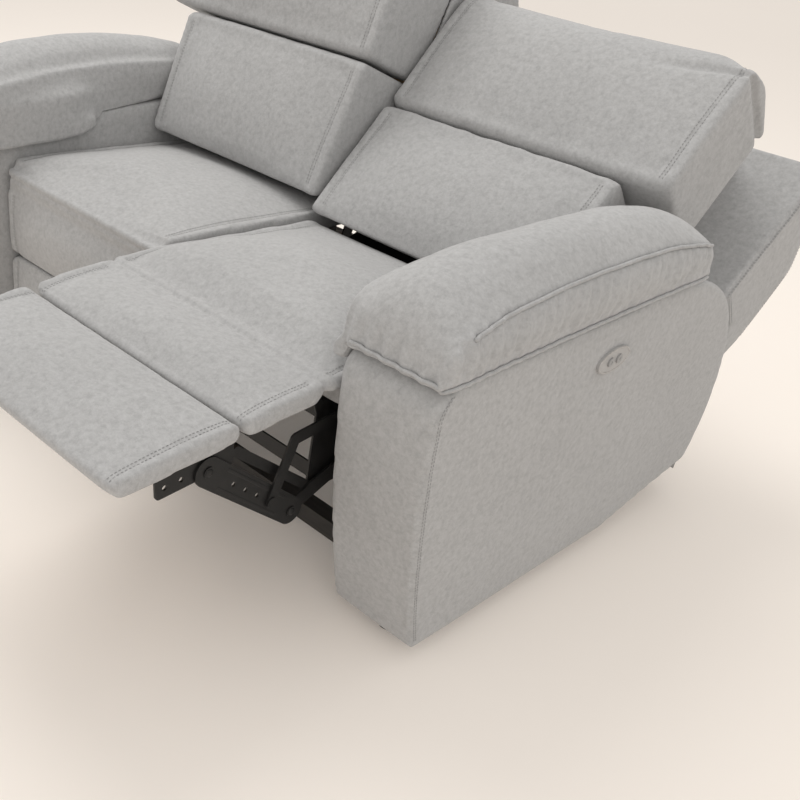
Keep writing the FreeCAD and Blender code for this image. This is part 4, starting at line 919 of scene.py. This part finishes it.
def arm_box(side):
    """The arm's cloth box, flat where the control plate lies."""
    sign = SIGN[side]
    line = arm_line()
    low, high = sorted((sign * ARM_INNER, sign * ARM_OUTER))
    item = prism(f"{side}_arm_upholstery", line, low, high)
    remesh(item, 0.008)
    relax(item, 0.5, 6)
    points = positions(item)
    facing = normals(item)
    edge = near_points([(p.x, p.y, 0) for p in line])
    gap = np.array([edge.find((p[1], p[2], 0))[2] for p in points])
    flat = rise(np.abs(facing[:, 0]), 0.6, 0.95)
    swell = 0.0035 * rise(gap, 0.0, 0.12) - 0.0015
    ripple = wrinkle(points, 5.0, 21) * 0.003 + wrinkle(points, 14.0, 22, (1, 1, 0.5)) * 0.0012
    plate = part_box(f"{side}_control_plate")
    centre = (plate[0] + plate[1]) / 2
    away = np.hypot(points[:, 1] - centre.y, points[:, 2] - centre.z)
    outside = points[:, 0] * sign > (ARM_INNER + ARM_OUTER) / 2
    calm = np.where(outside, rise(away, 0.055, 0.12), 1.0)
    points += facing * ((swell + ripple) * flat * calm)[:, None]
    front = rise(-facing[:, 1], 0.5, 0.9)
    points += facing * (wrinkle(points, 9.0, 23, (1, 1, 0.5)) * 0.002 * front)[:, None]
    points[:, 0] = np.clip(points[:, 0], low - 0.002, high + 0.002)
    out = points[:, 0] * sign
    held = outside & (away < PLATE_ROOM)
    points[:, 0] = sign * np.where(held, np.minimum(out, ARM_OUTER), out)
    set_positions(item, points)
    subdivide(item)
    return item


# The pad's share of its length with the shares of its width and of its boxing's height there.
PAD_SECTIONS = (
    (0.0, 0.86, 0.45),
    (0.03, 0.97, 0.78),
    (0.12, 1.0, 1.0),
    (0.2, 1.0, 1.08),
    (0.28, 1.0, 1.14),
    (0.36, 1.0, 1.16),
    (0.43, 1.0, 1.17),
    (0.65, 1.0, 1.14),
    (0.78, 1.0, 1.06),
    (0.9, 1.0, 0.93),
    (1.0, 0.9, 0.6),
)
PAD_INNER = 0.591
PAD_OUTER = 0.792
PAD_FRONT = -0.542
PAD_REAR = 0.222
PAD_BASE = 0.5775
NOSE_OVERLAP = 0.013
BOXING_HEIGHT = 0.098
ARM_INNER_SKIN = 0.5852

# The roll's depths with how far it draws back from its innermost face.
ROLL_LINE = (
    (-0.528, 0.020),
    (-0.49, 0.004),
    (-0.40, 0.0),
    (-0.30, 0.0),
    (-0.22, 0.007),
    (-0.16, 0.026),
    (-0.08, 0.034),
    (0.03, 0.038),
)
ROLL_INNER = 0.5535
ROLL_TOP = 0.650

# Depths with the least distance from the sofa's middle that the pad may have there.
INNER_LIMIT = (
    (-0.55, 0.56),
    (-0.50, 0.546),
    (-0.21, 0.553),
    (-0.15, 0.5835),
    (0.05, 0.5835),
    (0.10, 0.585),
)


def pad_edge(share, out, height):
    """A point of the pad's edge: out is -1 to 1 across, height 0 at the foot and 1 at the upper piping."""
    shares, widths, heights = zip(*PAD_SECTIONS)
    middle = (PAD_INNER + PAD_OUTER) / 2
    half = (PAD_OUTER - PAD_INNER) / 2
    width = half * float(np.interp(share, shares, widths))
    tall = BOXING_HEIGHT * float(np.interp(share, shares, heights))
    depth = PAD_FRONT + share * (PAD_REAR - PAD_FRONT)
    return (middle + out * width - NOSE_OVERLAP * max(0.0, -out), depth, PAD_BASE + tall * height)


def lofted(name, rows):
    """A closed form through rings of points."""
    count = len(rows[0])
    points = [point for row in rows for point in row]
    last = (len(rows) - 1) * count
    faces = [tuple(range(count)), tuple(reversed(range(last, last + count)))]
    for base in range(0, last, count):
        for side in range(count):
            first = base + side
            second = base + (side + 1) % count
            faces.append((first, first + count, second + count, second))
    item = mesh_object(name, points, faces, FABRIC)
    mesh = bmesh.new()
    mesh.from_mesh(item.data)
    bmesh.ops.recalc_face_normals(mesh, faces=mesh.faces)
    mesh.to_mesh(item.data)
    mesh.free()
    return item


def roll_filler(sign):
    """The form that fills the step between the pad and the roll inside the arm's top edge."""
    rows = []
    far = 0.62
    for y, inset in ROLL_LINE:
        near = ROLL_INNER + inset
        low = float(np.interp(y, (-0.2, -0.04), (0.545, 0.5785)))
        ring = [(near, low + 0.012), (near + 0.008, low), (far, low)]
        ring += [(far, ROLL_TOP), (near + 0.02, ROLL_TOP), (near, ROLL_TOP - 0.020)]
        rows.append([(sign * x, y, z) for x, z in ring])
    return lofted("bulge", rows)


def arm_pad(side):
    """The plump pad on the arm with gathered boxing and the roll inside the arm's top edge."""
    sign = SIGN[side]
    parts = [copy_of(f"{side}_arm_pad", "pad"), roll_filler(sign)]
    item = remesh(joined(f"{side}_arm_pad_upholstery", parts), CUSHION_VOXEL)
    relax(item, 0.6, 16)
    points = positions(item)
    facing = normals(item)
    under = rise(-facing[:, 2], 0.2, 0.7)
    inside = rise(-facing[:, 0] * sign, 0.3, 0.8)
    free = np.clip(1.0 - under - 0.55 * inside, 0, 1)
    height = (points[:, 2] - PAD_BASE) / 0.11
    free *= np.maximum(0.35 + 0.65 * rise(height, 0.0, 0.3), 0.8 * inside)
    shifted(item, -0.010 * free)
    puff(item, free, 0.016)
    points = positions(item)
    facing = normals(item)
    along = (points[:, 1] - PAD_FRONT) / (PAD_REAR - PAD_FRONT)
    between = rise(height, 0.05, 0.3) * (1 - rise(height, 0.75, 1.0))
    boxing = rise(facing[:, 0] * sign, 0.35, 0.8) * between
    waves = np.sin(points[:, 1] * 215.0 + wrinkle(points, 10.0, 31) * 2.2)
    fold = waves * (0.35 + 0.65 * np.exp(-(along / 0.3) ** 2))
    depth = fold * 0.0055 + wrinkle(points, 22.0, 32, (1, 1, 0.35)) * 0.004
    points += facing * (depth * boxing)[:, None]
    nose = rise(-facing[:, 1], 0.4, 0.8)
    waves = np.sin(points[:, 0] * 190.0 + wrinkle(points, 12.0, 33) * 2.0)
    gather = waves * 0.0035 * nose * (1 - rise(height, 0.2, 0.6))
    points += facing * gather[:, None]
    crown = rise(facing[:, 2], 0.4, 0.9)
    points[:, 2] += (wrinkle(points, 6.0, 34) * 0.005 + wrinkle(points, 15.0, 35) * 0.0015) * crown
    out = points[:, 0] * sign
    hangs = (points[:, 2] < PAD_BASE) & (out < ARM_INNER_SKIN)
    limit = np.interp(points[:, 1], *zip(*INNER_LIMIT))
    out = np.where(hangs, np.clip(out, 0.549, 0.5845), np.maximum(out, limit))
    points[:, 0] = out * sign
    points[:, 2] = np.where(out < ARM_INNER_SKIN, points[:, 2], np.maximum(points[:, 2], PAD_BASE))
    set_positions(item, points)
    subdivide(item)
    return item


PIPING_RADIUS = 0.0032


def welt(name, item, line):
    """A piping cord half sunk in the surface along a smoothed line."""
    tree = surface(item)
    found = snapped(tree, even_path(line, 0.006))
    flat = np.array([tuple(place) for place in places_of(found)])
    window = np.ones(11) / 11
    for axis in range(3):
        ends = np.pad(flat[:, axis], 5, mode="reflect", reflect_type="odd")
        flat[:, axis] = np.convolve(ends, window, "valid")
    found = snapped(tree, [Vector(point) for point in flat])
    path = [place + normal * PIPING_RADIUS * 0.35 for place, normal in found]
    groove(item, found, 0.0025, 0.0045)
    return tube(name, path, PIPING_RADIUS, FABRIC_TRIM)


TWIN_INSETS = (0.008, 0.013)

for side in SIDES:
    sign = SIGN[side]
    box_item = arm_box(side)
    front = [p for p in arm_line() if p.x < -0.40 and 0.045 < p.y < 0.57]
    front.sort(key=lambda p: p.y)
    threads = []
    corner = [(sign * (ARM_OUTER - 0.003), p.x, p.y) for p in front]
    groove(box_item, snapped(surface(box_item), even_path(corner, 0.006)), 0.0035, 0.004)
    tree = surface(box_item)
    for inset in TWIN_INSETS:
        beside = [(sign * ARM_OUTER, p.x + inset, p.y) for p in front]
        threads.append(snapped(tree, even_path(beside, 0.004)))
    dressed(box_item, "base_body", f"{side}_arm_cover", padded=0.5)
    dressed(stitches(f"{side}_arm_stitching", threads), "base_body")
    pad = arm_pad(side)
    foot_line = [pad_edge(share, 1.0, 0.10) for share in np.linspace(0.97, 0.03, 60)]
    foot_line += [pad_edge(0.0, out, 0.25) for out in np.linspace(0.9, -0.9, 16)]
    top_line = [pad_edge(share, 0.97, 0.97) for share in np.linspace(0.95, 0.06, 60)]
    lower = welt(f"{side}_pad_lower_piping", pad, [(sign * x, y, z) for x, y, z in foot_line])
    upper = welt(f"{side}_pad_upper_piping", pad, [(sign * x, y, z) for x, y, z in top_line])
    dressed(pad, "base_body", f"{side}_arm_pad", padded=0.8)
    dressed(lower, "base_body")
    dressed(upper, "base_body")


# Outer backs and wings.

# The wing's outline in the back's own depth and height.
WING_EDGE = (
    (0.430, 0.2627),
    (0.322, 0.270),
    (0.338, 0.480),
    (0.344, 0.600),
    (0.439, 0.578),
    (0.535, 0.476),
    (0.535, 0.290),
)
WING_MIDDLE = Vector((0.430, 0.420))
WING_REACH = 0.15
WING_FACE = 0.4605

for side in SIDES:
    body = f"{side}_back_body"
    shell = even_copy(f"{side}_outer_back", f"{side}_back_cover", 0.006)
    relax(shell, 0.5, 3)
    shifted(shell, wrinkle(positions(shell), 8.0, 41) * 0.002)
    dressed(shell, body, f"{side}_outer_back")
    wing = even_copy(f"{side}_back_wing", f"{side}_wing_cover", CUSHION_VOXEL)
    relax(wing, 0.5, 5)
    shifted(wing, wrinkle(positions(wing), 6.0, 43) * 0.003 + 0.001)
    subdivide(wing)
    outer = SIGN[side] * WING_FACE
    line = [(outer, y, z) for y, z in WING_EDGE]
    edge = snapped(surface(wing), even_path(to_world(BACK[side], line), 0.005))
    groove(wing, edge, 0.003, 0.004)
    tree = surface(wing)
    threads = []
    for inset in TWIN_INSETS:
        inner = [(outer, *(Vector(place).lerp(WING_MIDDLE, inset / WING_REACH))) for place in WING_EDGE]
        threads.append(snapped(tree, even_path(to_world(BACK[side], inner), 0.004)))
    dressed(wing, body, f"{side}_back_wing", padded=0.5)
    dressed(stitches(f"{side}_wing_stitching", threads), body)


# Flaps and deck cloth.

SHEET_THICKNESS = 0.0012


def cloth_grid(name, rows, columns, place, material):
    """A thin sheet; place gives the point at a share u of its width and v of its depth."""
    points = []
    faces = []
    for row in range(rows + 1):
        for column in range(columns + 1):
            points.append(place(column / columns, row / rows))
    for row in range(rows):
        for column in range(columns):
            first = row * (columns + 1) + column
            faces.append((first, first + 1, first + columns + 2, first + columns + 1))
    item = mesh_object(name, points, faces, material)
    return through(item, "SOLIDIFY", thickness=SHEET_THICKNESS, offset=0.0)


def deck_place(low, high):
    """The deck cloth's points, with a slight sag."""
    def place(u, v):
        sag = -0.012 * math.sin(math.pi * u) * math.sin(math.pi * v)
        ripple = 0.002 * noise.noise(Vector((u * 5, v * 5, 2.0)))
        height = (low.z + high.z) / 2 + sag + ripple
        return (low.x + (high.x - low.x) * u, low.y + (high.y - low.y) * v, height)
    return place


def flap_place(low, high):
    """A hanging flap's points, with soft waves at its lower edge."""
    def place(u, v):
        wave = 0.0022 * math.sin(u * 26.0) * (1 - v) + 0.002 * noise.noise(Vector((u * 7, v * 3, 4.0)))
        return (low.x + (high.x - low.x) * u, (low.y + high.y) / 2 + wave, low.z + (high.z - low.z) * v)
    return place


FLAP_GAP = 0.010

for side in SIDES:
    low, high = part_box(f"{side}_deck_cloth")
    deck = cloth_grid(f"{side}_deck_sheet", 24, 30, deck_place(low, high), CLOTH)
    dressed(deck, f"{side}_seat_body", f"{side}_deck_cloth", slot="deck_cloth")
low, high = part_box("rear_skirts")
flaps = []
for near, far in ((FLAP_GAP, high.x), (low.x, -FLAP_GAP)):
    place = flap_place(Vector((near, low.y, low.z)), Vector((far, high.y, high.z)))
    flaps.append(cloth_grid(f"flap_{len(flaps)}", 12, 60, place, FABRIC))
flap = joined("rear_flaps", flaps)
dressed(flap, "base_body", "rear_skirts")


# Linings behind the seats, from the seat's rear rail to the back's lowest slat.

LINING_WIDTH = 0.578
LINING_START = Vector((0.0, 0.0075, 0.428))
LINING_END = Vector((0.0, 0.200, 0.060))


def lining_place(side, start, end):
    """The points of the cloth between the seat's rear rail and the back's lowest slat."""
    def place(u, v):
        along = start.lerp(end, v)
        hang = math.sin(math.pi * v)
        across = SIGN[side] * SEAT_MIDDLE + (u - 0.5) * LINING_WIDTH
        return (across, along.y, along.z - 0.022 * hang + 0.002 * math.sin(u * 31.0) * hang)
    return place


for side in SIDES:
    start = SEAT[side] @ LINING_START
    end = BACK[side] @ LINING_END
    lining = cloth_grid(f"{side}_seat_lining", 18, 30, lining_place(side, start, end), CLOTH)
    near = (0.0, start.y, start.z)
    far = (0.0, end.y, end.z)
    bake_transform(lining)
    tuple(near)
    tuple(far)


# Rivet heads, ribs and the control plate's rim.

RIVET_RADIUS = 0.0072
RIVET_HEIGHT = 0.0026


def dome(centre, axis):
    """A low round head on a face."""
    rings = 5
    sides = 20
    axis = Vector(axis).normalized()
    across = axis.orthogonal().normalized()
    other = axis.cross(across)
    points = []
    for ring in range(rings + 1):
        angle = math.pi / 2 * ring / rings
        reach = RIVET_RADIUS * (math.cos(angle) if ring < rings else 0.12)
        lift = RIVET_HEIGHT * math.sin(angle)
        for side in range(sides):
            turn_by = 2 * math.pi * side / sides
            way = across * math.cos(turn_by) + other * math.sin(turn_by)
            points.append(Vector(centre) + way * reach + axis * lift)
    faces = ring_faces(rings, sides)
    faces.append(tuple(rings * sides + side for side in range(sides)))
    return mesh_object("dome", points, faces, BLACK_STEEL)


RIB_RADIUS = 0.0032
RIB_HEIGHT = 0.0005
RIB_LEVELS = ((1.0, 0.0), (0.86, 0.7), (0.55, 1.0))


def rib(start, end, axis):
    """A long raised bead pressed into a link, with round ends."""
    axis = Vector(axis)
    along = (end - start).normalized()
    beside = along.cross(axis).normalized()
    points = []
    sides = 24
    for share, lift in RIB_LEVELS:
        for side in range(sides):
            angle = 2 * math.pi * side / sides
            centre = end if math.cos(angle) > 0 else start
            way = along * math.cos(angle) + beside * math.sin(angle)
            points.append(centre + way * RIB_RADIUS * share + axis * RIB_HEIGHT * lift)
    faces = ring_faces(2, sides)
    faces.append(tuple(2 * sides + side for side in range(sides)))
    return mesh_object("rib", points, faces, BLACK_STEEL)


PLACES = {joint["name"]: joint for joint in frame["joints"]}
PLATE_PLANE = 0.236
WIDE_LINK_LAYER = 3
LAYER_STEP = 0.0046
LINK_THICKNESS = 0.004
BRACKET_PIN = Vector((0.0, -0.754, 0.422))


def outer_face(side, hand, layer):
    """The outer face of a layer of links on one hand of a seat."""
    return SIGN[side] * SEAT_MIDDLE + hand * (PLATE_PLANE + layer * LAYER_STEP + LINK_THICKNESS)


for side in SIDES:
    knee = Vector((0.0, *PLACES[f"{side}_wide_link_turn"]["pos_m"][1:]))
    bracket = FOOT[side] @ BRACKET_PIN
    bracket.x = 0.0
    along = bracket - knee
    across = Vector((0.0, -along.z, along.y)).normalized() * 0.017
    wide = []
    lift = []
    for hand in (-1, 1):
        face = outer_face(side, hand, WIDE_LINK_LAYER)
        axis = (hand, 0, 0)
        for way in (-1, 1):
            start = knee + along * 0.16 + across * way
            end = knee + along * 0.84 + across * way
            start.x = end.x = face
            wide.append(rib(start, end, axis))
        wide.append(dome((face + hand * 0.002, bracket.y, bracket.z), axis))
        lift.append(dome((face + hand * 0.0023, knee.y, knee.z), axis))
    for body, items in ((f"{side}_wide_link_body", wide), (f"{side}_lift_link_body", lift)):
        dressed(joined(f"{body}_rivets", items), body, slot="black_steel")


RIM_FACE = 0.785
RIM_INSET = 0.0022
# The arrow's three corners on a button.
ARROW = ((-0.0016, 0.003), (0.0016, 0.0), (-0.0016, -0.003))

for side in SIDES:
    sign = SIGN[side]
    low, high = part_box(f"{side}_control_plate")
    centre = (low + high) / 2
    half = (high - low) / 2
    ring = []
    for index in range(64):
        angle = 2 * math.pi * index / 64
        y = centre.y + (half.y - RIM_INSET) * math.cos(angle)
        z = centre.z + (half.z - RIM_INSET) * math.sin(angle)
        ring.append((sign * RIM_FACE, y, z))
    rim = tube(f"{side}_plate_rim", ring, 0.0009, RIM_METAL, closed=True)
    dressed(rim, "base_body", slot="plate_plastic")
    for use, way in (("back", 1), ("forward", -1)):
        button_low, button_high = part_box(f"{side}_{use}_button")
        middle = (button_low + button_high) / 2
        top = button_high.x if sign > 0 else button_low.x
        mark = [(top, middle.y + way * y, middle.z + z) for y, z in ARROW]
        arrow = tube(f"{side}_{use}_button_mark", mark, 0.0004, BLACK_PLASTIC, 6)
        dressed(arrow, f"{side}_{use}_button_body", slot="button_plastic")


# Floor, backdrop and light.

floor_shader = Shader("studio_floor")
tone = floor_shader.noise(0.35, 2.0, 0.4)
floor_colour = floor_shader.ramp(tone, [(0.3, (0.88, 0.815, 0.75)), (0.7, (0.90, 0.835, 0.77))])
glow = floor_shader.add("ShaderNodeMath", operation="MULTIPLY")
floor_shader.link(only_when_seen(floor_shader.tree), glow.inputs[0])
glow.inputs[1].default_value = 0.115
floor_shader.link(glow.outputs[0], floor_shader.main.inputs["Emission Strength"])
floor_shader.finish(floor_colour, Roughness=0.9, Specular_IOR_Level=0.1, Emission_Color=(1.0, 0.92, 0.84, 1))
FLOOR_HALF = 14.0
corners = [(x * FLOOR_HALF, y * FLOOR_HALF, 0) for x, y in ((-1, -1), (1, -1), (1, 1), (-1, 1))]
floor = mesh_object("floor", corners, [(0, 1, 2, 3)], floor_shader.material)

world = bpy.data.worlds.new("studio")
bpy.context.scene.world = world
world.use_nodes = True
tree = world.node_tree
background = tree.nodes["Background"]
plain = tree.nodes.new("ShaderNodeBackground")
SKY = ((background, (1.0, 0.985, 0.965, 1), 0.76), (plain, (0.79, 0.72, 0.64, 1), 1.0))
for item, colour, strength in SKY:
    item.inputs["Color"].default_value = colour
    item.inputs["Strength"].default_value = strength
mix = tree.nodes.new("ShaderNodeMixShader")
tree.links.new(only_when_seen(tree), mix.inputs[0])
tree.links.new(background.outputs[0], mix.inputs[1])
tree.links.new(plain.outputs[0], mix.inputs[2])
tree.links.new(mix.outputs[0], tree.nodes["World Output"].inputs["Surface"])


def lamp(name, place, target, size, power, colour):
    """A round soft lamp that points at a target."""
    data = bpy.data.lights.new(name, "AREA")
    data.shape = "DISK"
    data.size = size
    data.energy = power
    data.color = colour
    item = added(name, data)
    item.location = place
    item.rotation_euler = (Vector(target) - Vector(place)).to_track_quat("-Z", "Y").to_euler()


lamp("key", (-1.6, 0.4, 3.4), (0.0, 0.0, 0.4), 2.6, 54, (1.0, 0.99, 0.97))
lamp("fill", (2.8, -2.6, 2.2), (0.3, 0.0, 0.4), 2.4, 18, (1.0, 0.98, 0.96))
